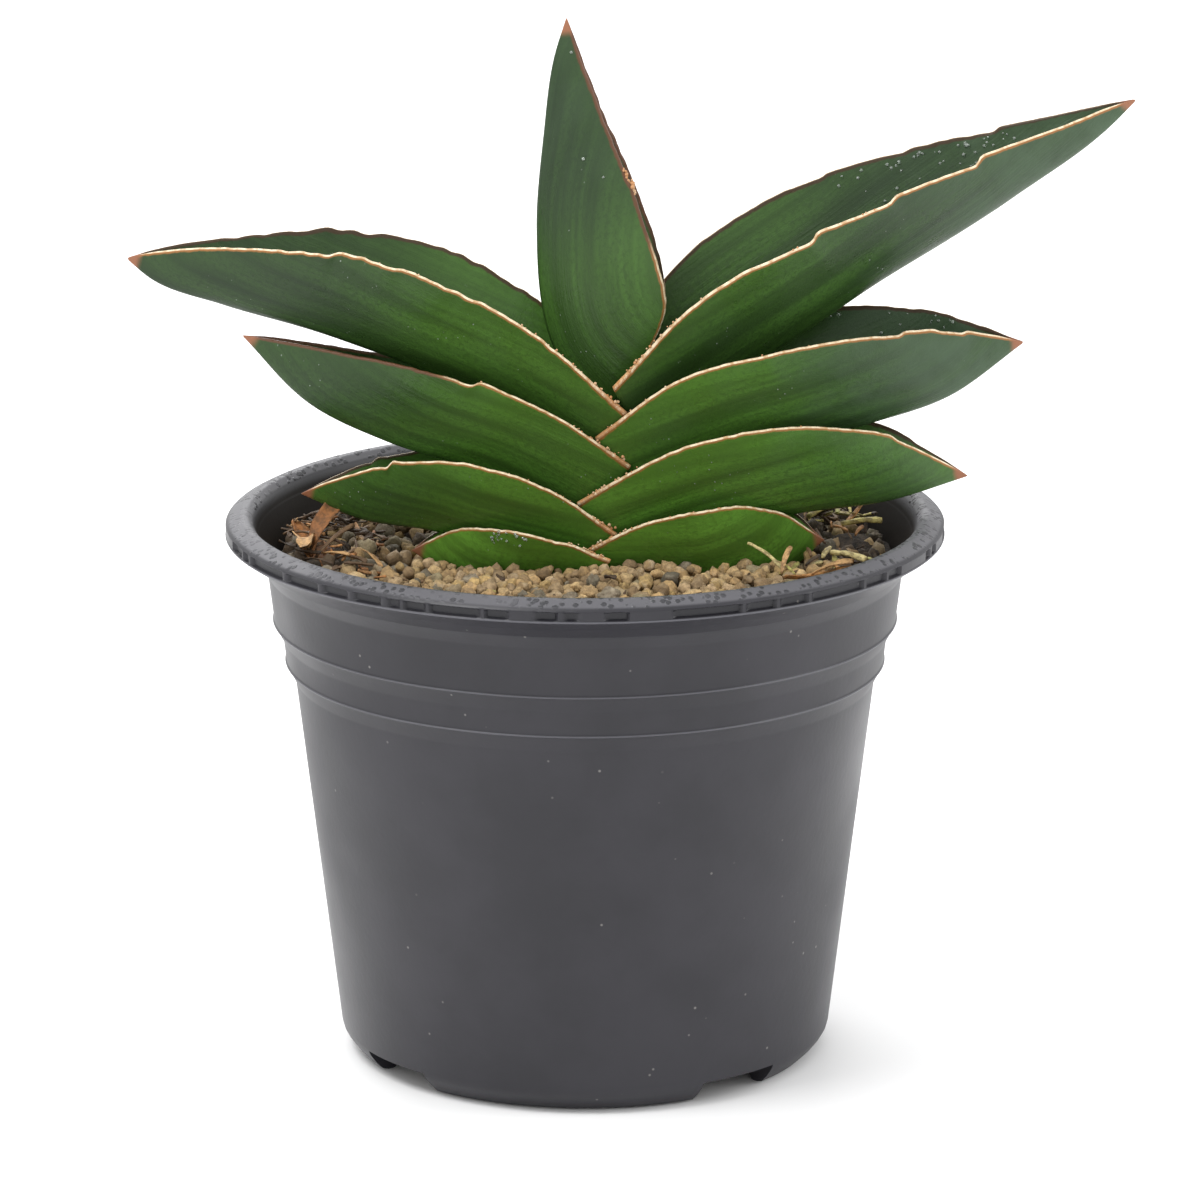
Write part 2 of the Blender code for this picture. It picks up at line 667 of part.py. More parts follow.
# ---- Whole plant -----------------------------------------------------------------------------------
def build():
    clear_scene()
    parts = new_collection(COLLECTION)
    cutters = new_collection(COLLECTION + "_cutters")
    make_pot(parts, cutters, new_material("pot", POT_GREY, 0.45))
    stock = make_rootstock("rootstock", 0.0, parts, cutters)
    stock.data.materials.append(new_material("rootstock", ROOT_CREAM, 0.6))
    hollow = as_cutter(make_rootstock("rootstock_hollow", GAP, cutters, cutters))
    make_soil(parts, new_material("soil", SOIL_BROWN, 0.95), hollow)
    wedges = make_wedges(cutters)
    make_gravel(parts, cutters, new_material("gravel_dressing", GRAVEL_TAN, 0.85), hollow, wedges)
    make_leaves(parts, cutters, wedges)
    for index, bit in enumerate(PEBBLES):
        make_pebble(bit, index, parts)
    for bit in BARK_CHIPS:
        make_chip(bit, parts, BARK_OLIVE)
    make_chip(STRAW, parts, BARK_OLIVE)
    for bit in SCRAPS:
        make_scrap(bit, parts)
    bpy.context.view_layer.update()


build()
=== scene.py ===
"""The looks of a dwarf snake plant in a plastic nursery pot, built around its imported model.

Metres, +Z up, origin at the centre of the pot's underside, front of the plant facing -Y.  Outlines are
given in millimetres and turned into metres by MM.
"""

import math
import random
from dataclasses import dataclass

import bmesh
import bpy
import numpy as np
from mathutils import Euler, Matrix, Vector, noise
from mathutils.bvhtree import BVHTree


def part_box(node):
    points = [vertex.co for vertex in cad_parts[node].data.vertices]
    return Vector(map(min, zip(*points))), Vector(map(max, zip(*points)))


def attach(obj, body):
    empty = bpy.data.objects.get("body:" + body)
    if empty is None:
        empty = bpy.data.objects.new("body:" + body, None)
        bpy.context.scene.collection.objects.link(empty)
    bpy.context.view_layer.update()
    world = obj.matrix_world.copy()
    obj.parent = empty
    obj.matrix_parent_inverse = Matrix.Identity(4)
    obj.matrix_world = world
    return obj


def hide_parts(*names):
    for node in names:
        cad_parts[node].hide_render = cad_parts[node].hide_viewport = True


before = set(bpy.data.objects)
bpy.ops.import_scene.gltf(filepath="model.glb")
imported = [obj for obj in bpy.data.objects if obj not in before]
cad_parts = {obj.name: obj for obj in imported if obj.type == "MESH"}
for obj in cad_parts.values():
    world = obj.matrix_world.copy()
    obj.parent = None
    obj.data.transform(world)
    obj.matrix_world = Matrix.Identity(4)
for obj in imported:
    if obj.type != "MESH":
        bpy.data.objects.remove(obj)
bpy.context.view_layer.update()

MM = 0.001
SEED = 20

POT_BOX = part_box("pot")
POT_TOP = POT_BOX[1].z
RIM_RADIUS = POT_BOX[1].x
FILL_DROP = 7.5 * MM
GRAVEL_LEVEL = POT_TOP - FILL_DROP
TO_GRAVEL = Vector((0.0, 0.0, GRAVEL_LEVEL))
WELD = 1e-6  # points closer than this are one


# ---- Mesh helpers ----------------------------------------------------------------------------------
def add_object(name, mesh, material=None):
    made = bpy.data.objects.new(name, mesh)
    bpy.context.scene.collection.objects.link(made)
    if material:
        mesh.materials.append(material)
    return made


def mesh_from(name, points, faces):
    mesh = bpy.data.meshes.new(name)
    mesh.from_pydata([tuple(point) for point in points], [], faces)
    mesh.update()
    mesh.shade_smooth()
    return mesh


def mesh_from_bmesh(name, shape):
    mesh = bpy.data.meshes.new(name)
    shape.to_mesh(mesh)
    shape.free()
    mesh.shade_smooth()
    return mesh


def set_attribute(mesh, name, kind, values):
    """Store one value per point: kind is FLOAT_VECTOR or FLOAT_COLOR."""
    field = {"FLOAT_VECTOR": "vector", "FLOAT_COLOR": "color"}[kind]
    layer = mesh.attributes.new(name, kind, "POINT")
    layer.data.foreach_set(field, np.asarray(values, dtype=np.float32).ravel())


def ring_faces(rows, columns):
    """Quads of a closed tube whose points run row by row."""
    faces = []
    for row in range(rows - 1):
        for column in range(columns):
            after = (column + 1) % columns
            first = row * columns
            faces.append((first + column, first + after, first + columns + after, first + columns + column))
    return faces


def unit_ball(subdivisions):
    """Corners and triangles of a ball of unit radius."""
    shape = bmesh.new()
    bmesh.ops.create_icosphere(shape, subdivisions=subdivisions, radius=1.0)
    corners = np.array([vertex.co[:] for vertex in shape.verts])
    triangles = np.array([[vertex.index for vertex in face.verts] for face in shape.faces])
    shape.free()
    return corners, triangles


def fix_normals(mesh):
    """Turn every face outward."""
    shape = bmesh.new()
    shape.from_mesh(mesh)
    bmesh.ops.recalc_face_normals(shape, faces=shape.faces[:])
    shape.to_mesh(mesh)
    shape.free()
    mesh.shade_smooth()


def apply_modifiers(made):
    """Bake the object's modifiers into its mesh."""
    bpy.context.view_layer.update()
    evaluated = made.evaluated_get(bpy.context.evaluated_depsgraph_get())
    mesh = bpy.data.meshes.new_from_object(evaluated)
    made.modifiers.clear()
    made.data = mesh


def smooth_step(value, low, high):
    """0 below low, 1 above high and a smooth rise between them."""
    share = min(1.0, max(0.0, (value - low) / (high - low)))
    return share * share * (3.0 - 2.0 * share)


def scatter(rng, spread):
    """A random shift in any direction."""
    return Vector([rng.gauss(0.0, spread) for _ in range(3)])


def own(piece, slot, *nodes):
    """The piece rides on the plant's one body and stands for CAD nodes, which it hides; slot is not used."""
    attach(piece, "root")
    if nodes:
        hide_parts(*nodes)
    return piece


# ---- Material helpers ------------------------------------------------------------------------------
class Shader:
    """A Principled material that is built by adding nodes."""

    def __init__(self, name, colour=(0.5, 0.5, 0.5), roughness=0.5):
        self.material = bpy.data.materials.new(name)
        self.material.use_nodes = True
        self.tree = self.material.node_tree
        self.surface = self.tree.nodes["Principled BSDF"]
        self.surface.inputs["Base Color"].default_value = (*colour, 1.0)
        self.surface.inputs["Roughness"].default_value = roughness
        self.coordinates = None

    def node(self, kind, inputs=None, **settings):
        made = self.tree.nodes.new(kind)
        for key, value in settings.items():
            setattr(made, key, value)
        for key, value in (inputs or {}).items():
            self.feed(made.inputs[key], value)
        return made

    def feed(self, socket, value):
        if isinstance(value, bpy.types.NodeSocket):
            self.tree.links.new(value, socket)
        else:
            socket.default_value = value

    def place(self, scale=(1.0, 1.0, 1.0)):
        """Object coordinates, scaled."""
        if not self.coordinates:
            self.coordinates = self.node("ShaderNodeTexCoord").outputs["Object"]
        return self.scaled(self.coordinates, scale)

    def scaled(self, vector, scale):
        made = self.node("ShaderNodeVectorMath", {0: vector, 1: scale}, operation="MULTIPLY")
        return made.outputs[0]

    def attribute(self, name, output="Vector"):
        return self.node("ShaderNodeAttribute", attribute_name=name).outputs[output]

    def split(self, vector):
        return self.node("ShaderNodeSeparateXYZ", {0: vector}).outputs

    def noise(self, vector, detail=3.0, roughness=0.55):
        inputs = {"Vector": vector, "Scale": 1.0, "Detail": detail, "Roughness": roughness}
        return self.node("ShaderNodeTexNoise", inputs).outputs["Fac"]

    def cells(self, vector):
        """Distance from the middle of the nearest of many scattered cells."""
        return self.node("ShaderNodeTexVoronoi", {"Vector": vector, "Scale": 1.0}).outputs["Distance"]

    def band(self, value, low, high, out_low=0.0, out_high=1.0):
        """Map value from low..high to out_low..out_high with a smooth step."""
        inputs = {"Value": value, "From Min": low, "From Max": high, "To Min": out_low, "To Max": out_high}
        return self.node("ShaderNodeMapRange", inputs, interpolation_type="SMOOTHSTEP").outputs["Result"]

    def math(self, operation, first, second=0.0):
        return self.node("ShaderNodeMath", {0: first, 1: second}, operation=operation).outputs[0]

    def times(self, first, second):
        return self.math("MULTIPLY", first, second)

    def mix(self, factor, first, second):
        made = self.node("ShaderNodeMix", data_type="RGBA")
        self.feed(made.inputs["Factor"], factor)
        for socket, value in ((made.inputs["A"], first), (made.inputs["B"], second)):
            colour = (*value, 1.0) if isinstance(value, tuple) and len(value) == 3 else value
            self.feed(socket, colour)
        return made.outputs["Result"]

    def colour(self, value):
        self.feed(self.surface.inputs["Base Color"], value)

    def roughness(self, value):
        self.feed(self.surface.inputs["Roughness"], value)

    def bump(self, height, strength, distance):
        inputs = {"Height": height, "Strength": strength, "Distance": distance}
        previous = self.surface.inputs["Normal"]
        if previous.is_linked:
            inputs["Normal"] = previous.links[0].from_socket
        self.feed(previous, self.node("ShaderNodeBump", inputs).outputs["Normal"])


# ---- Leaves ----------------------------------------------------------------------------------------
KEEL_THICKNESS = 3.6
MARGIN_THICKNESS = 0.75
CORD_RADIUS = 0.36  # the raised cord along each margin
SWOLLEN = 0.9  # how much thicker the near cord is at its base
CHANNEL_POWER = 1.45
WIDEST = 0.42
TIP_POWER = 1.3
CRUMB_REACH = 0.2  # share of the leaf over which the crumbs thin out
SCAB_HEIGHT = 65.0  # above the gravel
SCAB_REACH = 2.2  # to each side of its middle
STATIONS = 150
LAST_STATION = 0.992
STATION_CROWDING = 1.25  # above 1, the stations lie closer towards the tip
FLANK_SHARES = (0.0, 0.07, 0.15, 0.24, 0.33, 0.42, 0.51, 0.6, 0.69, 0.77, 0.84, 0.895, 0.935, 0.965, 0.985,
                1.0)
PATTERN_SHIFT = 200.0  # how far apart the leaves lie in the pattern of the skin
LUMP_HEIGHT = 0.35
LUMP_SCALE = 0.06
TIP_REACH = 0.35
CORD_POINTS = 7
LEFT, RIGHT = -1, 1


@dataclass
class Leaf:
    """One channelled leaf, as in the model.

    keel and margins are its two lines in side view, from base to tip, as (distance from the pot's axis,
    height above the gravel).  kinks are bends of the near margin, as (fraction of the length, height).
    """

    name: str
    side: int
    keel: tuple
    margins: tuple
    half_width: float
    base_half_width: float
    base_roll: float  # in degrees, about the leaf's own line
    tip_roll: float
    kinks: tuple
    freshness: float  # 1 for a bright young green, 0 for a dull dark one
    bloom: float  # how much grey wax there is towards the tip
    crumbly: bool = True  # whether scaly crumbs lie on its near margin
    cream: float = 1.1  # how far along the near margin is cream; from there it is thin and rusty
    ripple: float = 1.0  # how strongly the margins ripple


LEAVES = (
    Leaf("leaf_left_1", LEFT, ((0, -7), (-8, -5.5), (-16, -5), (-23, -3), (-29, 1)),
         ((4, 1), (-5, 4.5), (-14, 5.6), (-22, 4.7), (-29, 1)), 9.5, 8, 0, -8, (), 1.0, 0.0),
    Leaf("leaf_right_1", RIGHT, ((7, -7), (15, -6), (24, -5.5), (33, -3), (40, 3)),
         ((0.5, 2), (10, 7.5), (21, 10), (31, 9), (40, 3)), 9.5, 6, 0, 0, (), 0.95, 0.0),
    Leaf("leaf_left_2", LEFT, ((0, -3), (-12, 1), (-25, 4.5), (-37, 6.5), (-47.5, 11)),
         ((5, 5), (-5, 12.5), (-19, 17), (-33, 16.2), (-47.5, 11)), 10.5, 6, 0, -10,
         ((0.72, -1.3),), 0.75, 0.1),
    Leaf("leaf_right_2", RIGHT, ((7, -3), (22, 4.5), (38, 8), (52, 10), (64, 14)),
         ((-1, 10), (14, 19.5), (32, 23.5), (49, 21.5), (64, 14)), 11, 5.4, 0, -6,
         ((0.8, -0.5),), 0.8, 0.4),
    # Its low freshness is partly painted shade for the shade leaf_left_4 casts on it.
    Leaf("leaf_left_3", LEFT, ((0, 4), (-16, 14), (-33, 20), (-46, 26.5), (-57, 38)),
         ((7, 16), (-8, 26.5), (-26, 32), (-42, 35.5), (-57, 38)), 11, 6.1, -6, -12,
         ((0.43, -1.2), (0.38, 0.3)), 0.5, 0.1, cream=0.5),
    Leaf("leaf_right_3", RIGHT, ((9, 6), (28, 17), (48, 23), (61, 27.5), (73, 37)),
         ((2, 21), (17, 33.5), (38, 39.5), (57, 40.5), (73, 37)), 11.5, 5.5, 0, 10,
         ((0.72, 0.7), (0.8, -0.5), (0.86, 0.6)), 0.5, 1.0),
    Leaf("leaf_left_4", LEFT, ((0, 14), (-18, 27), (-40, 37), (-60, 43), (-72, 47.5), (-76, 51)),
         ((7, 26), (-9, 41.5), (-32, 52), (-57, 53.5), (-72, 52), (-76, 51)), 11.5, 5.8, 5, 0,
         ((0.62, -0.9), (0.5, -0.5), (0.35, -0.4)), 0.36, 0.12, ripple=2.6),
    Leaf("leaf_right_4", RIGHT, ((10, 17), (30, 33), (52, 48.5), (71, 61), (87, 73.5), (91, 78)),
         ((4, 31), (17, 47.5), (38, 60), (65, 70), (84, 76), (91, 78)), 11.5, 5, 14, 10,
         ((0.43, 1.2), (0.57, 0.9), (0.72, 1.5)), 0.2, 1.0),
    Leaf("leaf_centre", LEFT, ((2, 23), (-6, 38), (-8, 56), (-6.8, 72), (-5, 85), (-3, 91.5)),
         ((8, 31), (13, 43), (9.5, 58), (4, 72), (-1, 85), (-3, 91.5)), 6, 1.6, 0, 0,
         ((0.55, -0.3),), 0.3, 0.3, crumbly=False, cream=0.38),
)


def smooth_curve(points, fractions):
    """Points at fractions of the way along a smooth curve through the given points."""
    points = np.array(points, dtype=float)
    steps = np.linalg.norm(np.diff(points, axis=0), axis=1)
    knots = np.concatenate(([0.0], np.cumsum(steps))) / steps.sum()
    slopes = np.gradient(points, knots, axis=0)
    index = np.clip(np.searchsorted(knots, fractions, side="right") - 1, 0, len(points) - 2)
    span = (knots[index + 1] - knots[index])[:, None]
    t = (fractions[:, None] - knots[index][:, None]) / span
    return (
        points[index] * (2 * t**3 - 3 * t**2 + 1)
        + points[index + 1] * (3 * t**2 - 2 * t**3)
        + slopes[index] * span * (t**3 - 2 * t**2 + t)
        + slopes[index + 1] * span * (t**3 - t**2)
    )


def half_widths(leaf, fractions):
    """Half the leaf's width, widest at WIDEST and pointed at the tip."""
    rise = np.sin(0.5 * np.pi * np.minimum(fractions / WIDEST, 1.0))
    narrowing = (np.maximum(fractions - WIDEST, 0.0) / (1.0 - WIDEST)) ** TIP_POWER
    widths = leaf.base_half_width + (leaf.half_width - leaf.base_half_width) * rise
    return widths * (1.0 - narrowing)


def wander(seed, fractions, scale):
    """A smooth random line in -1..1 along the leaf."""
    return np.array([noise.noise(Vector((fraction * scale, seed * 7.3, SEED))) for fraction in fractions])


def margin_wave(leaf, index, fractions, near):
    """Height of the margin's ripples and kinks above its smooth line."""
    seed = index * 2 + near
    swell = np.minimum(1.0, 4.0 * (1.0 - fractions)) * np.minimum(1.0, 0.25 + 3.0 * fractions)
    ripples = 0.12 * leaf.ripple * wander(seed + 40, fractions, 45.0)
    wave = swell * (0.3 * wander(seed, fractions, 9.0) + ripples)
    if not near:
        wave += 0.25 * swell * np.abs(wander(seed + 80, fractions, 22.0))
    for place, height in leaf.kinks:
        offset = fractions - (place if near else place + 0.05)
        wave += (0.6 if near else 0.3) * height * np.tanh(offset / 0.008) * np.exp(-np.abs(offset) / 0.05)
    return wave


def leaf_sections(leaf, index):
    """Points of the fine leaf, ring by ring, with what the skin reads at each.

    grain is (distance along, distance across, inward).  ends is (distance from the margin, below 0 on its
    cord; distance from the tip; inward).  inward is 0 on the outer side and 1 on the inner side.
    """
    fractions = LAST_STATION * (1.0 - (1.0 - np.linspace(0.0, 1.0, STATIONS)) ** STATION_CROWDING)
    keel = smooth_curve(leaf.keel, fractions)
    margins = smooth_curve(leaf.margins, fractions)
    length = np.concatenate(([0.0], np.cumsum(np.linalg.norm(np.diff(margins, axis=0), axis=1))))
    widths = half_widths(leaf, fractions)
    waves = {1: margin_wave(leaf, index, fractions, 0), -1: margin_wave(leaf, index, fractions, 1)}
    rolls = np.radians(leaf.base_roll + (leaf.tip_roll - leaf.base_roll) * fractions) * leaf.side
    rings, grain, ends = [], [], []
    for station, fraction in enumerate(fractions):
        up = margins[station] - keel[station]
        depth = np.hypot(*up)
        up = Vector((up[0] / depth, 0.0, up[1] / depth))
        step = keel[min(station + 1, STATIONS - 1)] - keel[max(station - 1, 0)]
        along = Vector((step[0], 0.0, step[1])).normalized()
        origin = Vector((keel[station][0], 0.0, keel[station][1]))
        middle = origin + up * depth * 0.5
        turn = Matrix.Rotation(rolls[station], 3, along)
        origin = middle + turn @ (origin - middle)
        up = turn @ up
        side = turn @ Vector((0.0, 1.0, 0.0))
        lifts = {sign: wave[station] for sign, wave in waves.items()}
        for sideways, height, edge, across, inner in leaf_section(widths[station], depth, fraction, lifts):
            rings.append(origin + side * sideways + up * height)
            grain.append((length[station] + PATTERN_SHIFT * index, across, inner))
            ends.append((edge, length[-1] - length[station], inner))
    return rings, grain, ends


def leaf_section(width, depth, fraction, lifts):
    """One closed section as (sideways, height, distance from margin, distance from keel, inner flag)."""
    keel = min(KEEL_THICKNESS, 0.55 * depth)
    margin = min(MARGIN_THICKNESS, 0.45 * width)
    cord = CORD_RADIUS * (1.0 - 0.35 * fraction) * min(1.0, width / 1.5)
    swelling = {1: 1.0, -1: 1.0 + SWOLLEN * math.exp(-((fraction / 0.09) ** 2))}
    shares = [-share for share in reversed(FLANK_SHARES)] + list(FLANK_SHARES[1:])

    def flank(half, base, inner, order):
        rows = []
        for share in order:
            near = -1 if share < 0 else 1
            size = abs(share)
            lift = lifts[near] * size**8
            height = base + (depth - base) * size**CHANNEL_POWER + lift
            reach = (half * half + (depth - base) ** 2) ** 0.5
            rows.append((half * share, height, (1.0 - size) * reach, share * reach, inner))
        return rows

    def bead(sign):
        rows = []
        centre = sign * (width - 0.5 * margin)
        thick = cord * swelling[sign]
        for step in range(1, CORD_POINTS + 1):
            angle = math.pi * step / (CORD_POINTS + 1)
            if sign > 0:
                angle = math.pi - angle
            sideways = centre - thick * math.cos(angle)
            height = depth + lifts[sign] + 0.15 * cord + thick * math.sin(angle)
            inner = 0.5 + 0.5 * sign * math.cos(angle)
            rows.append((sideways, height, -thick * math.sin(angle), sign * math.hypot(width, depth), inner))
        return rows

    outer = flank(width, 0.0, 0.0, shares)
    inner_side = flank(width - margin, keel, 1.0, reversed(shares))
    return outer + bead(1) + inner_side + bead(-1)[::-1]


def margin_crumbs(rings, columns, rng):
    """Little scaly crumbs on the near margin of a leaf, thickest at its base, as (place, radius)."""
    crumbs = []
    top = columns - 1 - CORD_POINTS // 2
    for station in range(3, STATIONS // 2):
        near_base = max(0.0, 1.0 - station / STATIONS / CRUMB_REACH)
        for _ in range(3):
            if rng.random() < 0.03 + 0.5 * near_base:
                spread = 0.08 + 0.16 * near_base
                shift = scatter(rng, spread)
                radius = rng.uniform(0.12, 0.2 + 0.16 * near_base)
                crumbs.append((rings[station * columns + top] + shift, radius))
    return crumbs


def scab_crumbs(rings, columns, rng):
    """A brown scab where the near margin of the upright leaf was nicked, as (place, radius)."""
    near_margin = rings[columns - 1 - CORD_POINTS // 2::columns]
    crumbs = []
    for place in near_margin:
        closeness = 1.0 - abs(place.z - SCAB_HEIGHT) / SCAB_REACH
        if closeness > 0.0:
            for _ in range(3):
                shift = scatter(rng, 0.1 + 0.2 * closeness)
                crumbs.append((place + shift, rng.uniform(0.15, 0.25 + 0.3 * closeness)))
    return crumbs


def build_leaf(leaf, index, material):
    """One leaf with its crumbs, and the values its skin reads: tone, rim, grain and ends."""
    rings, grain, ends = leaf_sections(leaf, index)
    columns = len(rings) // STATIONS
    points = []
    for place, (_, across, _) in zip(rings, grain):
        spot = Vector((place.x * LUMP_SCALE, place.z * LUMP_SCALE, 2.0 * across * LUMP_SCALE + index * 5.0))
        points.append((place + Vector((0.0, 0.0, LUMP_HEIGHT * noise.noise(spot)))) * MM + TO_GRAVEL)
    faces = ring_faces(STATIONS, columns)
    tip = sum(points[-columns:], Vector()) / columns
    outward = (tip - sum(points[-3 * columns:-2 * columns], Vector()) / columns).normalized()
    points.append(tip + outward * TIP_REACH * MM)
    grain.append(grain[-1])
    ends.append((2.0, 0.0, 0.0))
    last = (STATIONS - 1) * columns
    faces += [(last + column, last + (column + 1) % columns, len(points) - 1) for column in range(columns)]
    base = sum(points[:columns], Vector()) / columns
    points.append(base)
    grain.append(grain[0])
    ends.append((9.0, ends[0][1], 1.0))
    faces += [((column + 1) % columns, column, len(points) - 1) for column in range(columns)]
    ball, triangles = unit_ball(1)
    crumb_places = margin_crumbs if leaf.crumbly else scab_crumbs
    crumbs = crumb_places(rings, columns, random.Random(SEED + index))
    for place, radius in crumbs:
        first = len(points)
        for corner in ball:
            points.append((place + Vector(corner) * radius) * MM + TO_GRAVEL)
        faces += [tuple(first + int(corner) for corner in triangle) for triangle in triangles]
        grain += [(place.x, place.y, 0.0)] * len(ball)
        ends += [(-0.2, ends[0][1], 0.4)] * len(ball)
    mesh = mesh_from(leaf.name + "_skin", points, faces)
    fix_normals(mesh)
    whole = ends[0][1]
    tones = [(leaf.freshness, leaf.bloom, 1.0 - tip_distance / whole) for _, tip_distance, _ in ends]
    creams = [(smooth_step(leaf.cream - share, -0.05, 0.05), 0.0, 0.0) for _, _, share in tones]
    for name, values in (("tone", tones), ("rim", creams), ("grain", grain), ("ends", ends)):
        set_attribute(mesh, "leaf_" + name, "FLOAT_VECTOR", values)
    return own(add_object(leaf.name + "_skin", mesh, material), "leaf", leaf.name)


OLD_DARK, YOUNG_DARK = (0.014, 0.031, 0.010), (0.070, 0.165, 0.020)
OLD_LIGHT, YOUNG_LIGHT = (0.029, 0.064, 0.016), (0.145, 0.36, 0.042)
WAX = (0.066, 0.110, 0.062)
DUST = (0.42, 0.47, 0.42)
OUTER_RUST, INNER_RUST, BARE_RUST = (0.34, 0.14, 0.04), (0.055, 0.030, 0.014), (0.12, 0.052, 0.026)
TAN_CORD, CREAM_CORD = (0.50, 0.32, 0.16), (0.80, 0.68, 0.48)
TORN, FRAYED, DRY_TIP = (0.46, 0.20, 0.07), (0.55, 0.27, 0.10), (0.30, 0.125, 0.065)


def leaf_material():
    """Streaky green that greys and darkens towards the tip (age, and partly painted shade), painted lighter
    near the margins, with a rusty margin, a cream cord and a dry tip.
    """
    shader = Shader("leaf_skin", roughness=0.36)
    band, mix, times = shader.band, shader.mix, shader.times
    grain = shader.attribute("leaf_grain")
    fresh, bloom, share = shader.split(shader.attribute("leaf_tone"))
    # Darker towards the tip: partly the leaf's age, partly painted shade standing for the shade of the leaf
    # above.
    ageing_and_shade = shader.math("ADD", 1.0, band(share, 0.35, 0.85, 0.0, 3.5))
    tone = shader.math("POWER", fresh, ageing_and_shade)
    edge, tip, inner = shader.split(shader.attribute("leaf_ends"))
    fibres = shader.noise(shader.scaled(grain, (0.04, 2.2, 0.0)), 4.0, 0.6)
    streaks = shader.noise(shader.scaled(grain, (0.015, 0.4, 0.0)), 2.0)
    blotches = shader.noise(shader.scaled(grain, (0.12, 0.12, 0.3)), 3.0)
    mottle = shader.noise(shader.scaled(grain, (1.1, 1.5, 1.0)), 4.0, 0.7)
    dark = mix(tone, OLD_DARK, YOUNG_DARK)
    light = mix(tone, OLD_LIGHT, YOUNG_LIGHT)
    green = mix(band(streaks, 0.3, 0.7), dark, light)
    green = mix(band(fibres, 0.45, 0.75, 0.0, 0.35), green, dark)
    green = mix(band(mottle, 0.46, 0.62, 0.0, 0.6), green, dark)
    # Painted light: paler green within about 5 mm of each margin, which leaves the keel darker as painted
    # shade.
    green = mix(band(edge, 5.0, 0.8, 0.0, 0.35), green, light)
    waxy = times(band(tip, 62.0, 5.0, 0.05, 0.85), band(blotches, 0.3, 0.7, 0.35, 1.0))
    green = mix(times(waxy, bloom), green, WAX)
    drops = shader.cells(shader.scaled(grain, (0.8, 0.8, 1.0)))
    clusters = shader.noise(shader.scaled(grain, (0.07, 0.1, 0.3)), 2.0)
    dust = times(band(drops, 0.13, 0.06), band(clusters, 0.55, 0.68))
    green = mix(times(dust, 0.6), green, DUST)
    ragged = shader.noise(shader.scaled(grain, (0.6, 0.0, 0.0)), 3.0)
    rust_reach = shader.math("ADD", edge, times(ragged, -0.5))
    rust = mix(band(inner, 0.1, 0.6), OUTER_RUST, INNER_RUST)
    creamy, _, _ = shader.split(shader.attribute("leaf_rim"))
    rust = mix(creamy, BARE_RUST, rust)
    colour = mix(band(rust_reach, 0.06, -0.18, 0.0, 0.9), green, rust)
    cream = mix(band(ragged, 0.35, 0.6), TAN_CORD, CREAM_CORD)
    torn = times(band(share, 0.14, 0.03), band(mottle, 0.35, 0.55))
    cream = mix(times(torn, 0.85), cream, TORN)
    outward = band(inner, 0.80, 0.62)
    colour = mix(band(edge, 0.0, -0.04), colour, rust)
    top = times(times(band(edge, -0.02, -0.10), outward), creamy)
    colour = mix(top, colour, cream)
    frayed = times(band(edge, -0.42, -0.6, 0.0, 0.6), creamy)
    colour = mix(frayed, colour, FRAYED)
    dry_reach = shader.math("ADD", tip, times(blotches, -2.5))
    colour = mix(band(dry_reach, 1.6, 0.0), colour, DRY_TIP)
    shader.colour(colour)
    shader.roughness(band(blotches, 0.3, 0.7, 0.26, 0.46))
    shader.surface.inputs["Specular IOR Level"].default_value = 0.3
    shader.bump(fibres, 0.3, 0.0003)
    shader.bump(mottle, 0.25, 0.0003)
    shader.bump(dust, 0.5, 0.0003)
    return shader.material


# Wet spots: leaf, range of stations, range of section points, number of drops.
WET_SPOTS = (
    ("leaf_left_1", (0.34, 0.52), (1, 4), 26),
    ("leaf_right_4", (0.42, 0.72), (40, 47), 60),
    ("leaf_right_3", (0.5, 0.8), (40, 46), 24),
    ("leaf_centre", (0.5, 0.9), (2, 10), 3),
)


def build_drops():
    """Small water drops left on some leaves by watering."""
    rng = random.Random(SEED + 3)
    ball, triangles = unit_ball(2)
    points, faces = [], []
    names = [leaf.name for leaf in LEAVES]
    for name, stations, columns, count in WET_SPOTS:
        index = names.index(name)
        rings, _, _ = leaf_sections(LEAVES[index], index)
        width = len(rings) // STATIONS
        for _ in range(count):
            station = int(rng.uniform(*stations) * STATIONS)
            place = rings[station * width + rng.randint(*columns)]
            place = place + scatter(rng, 0.15)
            radius = rng.uniform(0.14, 0.34)
            faces += (triangles + len(points)).tolist()
            points += [(place + Vector(corner) * radius) * MM + TO_GRAVEL for corner in ball]
    water = Shader("water", (0.75, 0.82, 0.75), 0.04)
    water.surface.inputs["Transmission Weight"].default_value = 0.75
    water.surface.inputs["IOR"].default_value = 1.33
    own(add_object("water_drops", mesh_from("water_drops", points, faces), water.material), "leaf")


def build_leaves():
    material = leaf_material()
    return [build_leaf(leaf, index, material) for index, leaf in enumerate(LEAVES)]


# ---- Pot -------------------------------------------------------------------------------------------
RIM_OVERHANG = 6.9
LIP_WIDTH = 4.6
RIM_SKIRT = 3.0
RIM_FLARE = 6.0
WALL = 1.0
BODY_TAPER = 0.121
BANDS = (8.4, 4.1)
BAND_STEP = 1.5
BAND_SLOPE = 3.0
BASE_CORNER = 3.6
FOOT_WIDTH = 2.6
FLOOR_RISE = 2.4
FLOOR_SLOPE = 1.5
PAD_RADIUS = 12.0
DRAIN_COUNT = 4
DRAIN_START = math.radians(-51.0)
DRAIN_SIZE = (15.0, 9.0, 4.0)
POT_SIDES = 720
POCKET_DEPTH = 0.6
RIB_WIDTH = math.radians(0.8)
WALL_WOBBLE = 0.06
FILLED_POCKETS = 0.25  # share of the pockets that are filled
SEAM = 0.3  # a fine raised line at each step of the wall


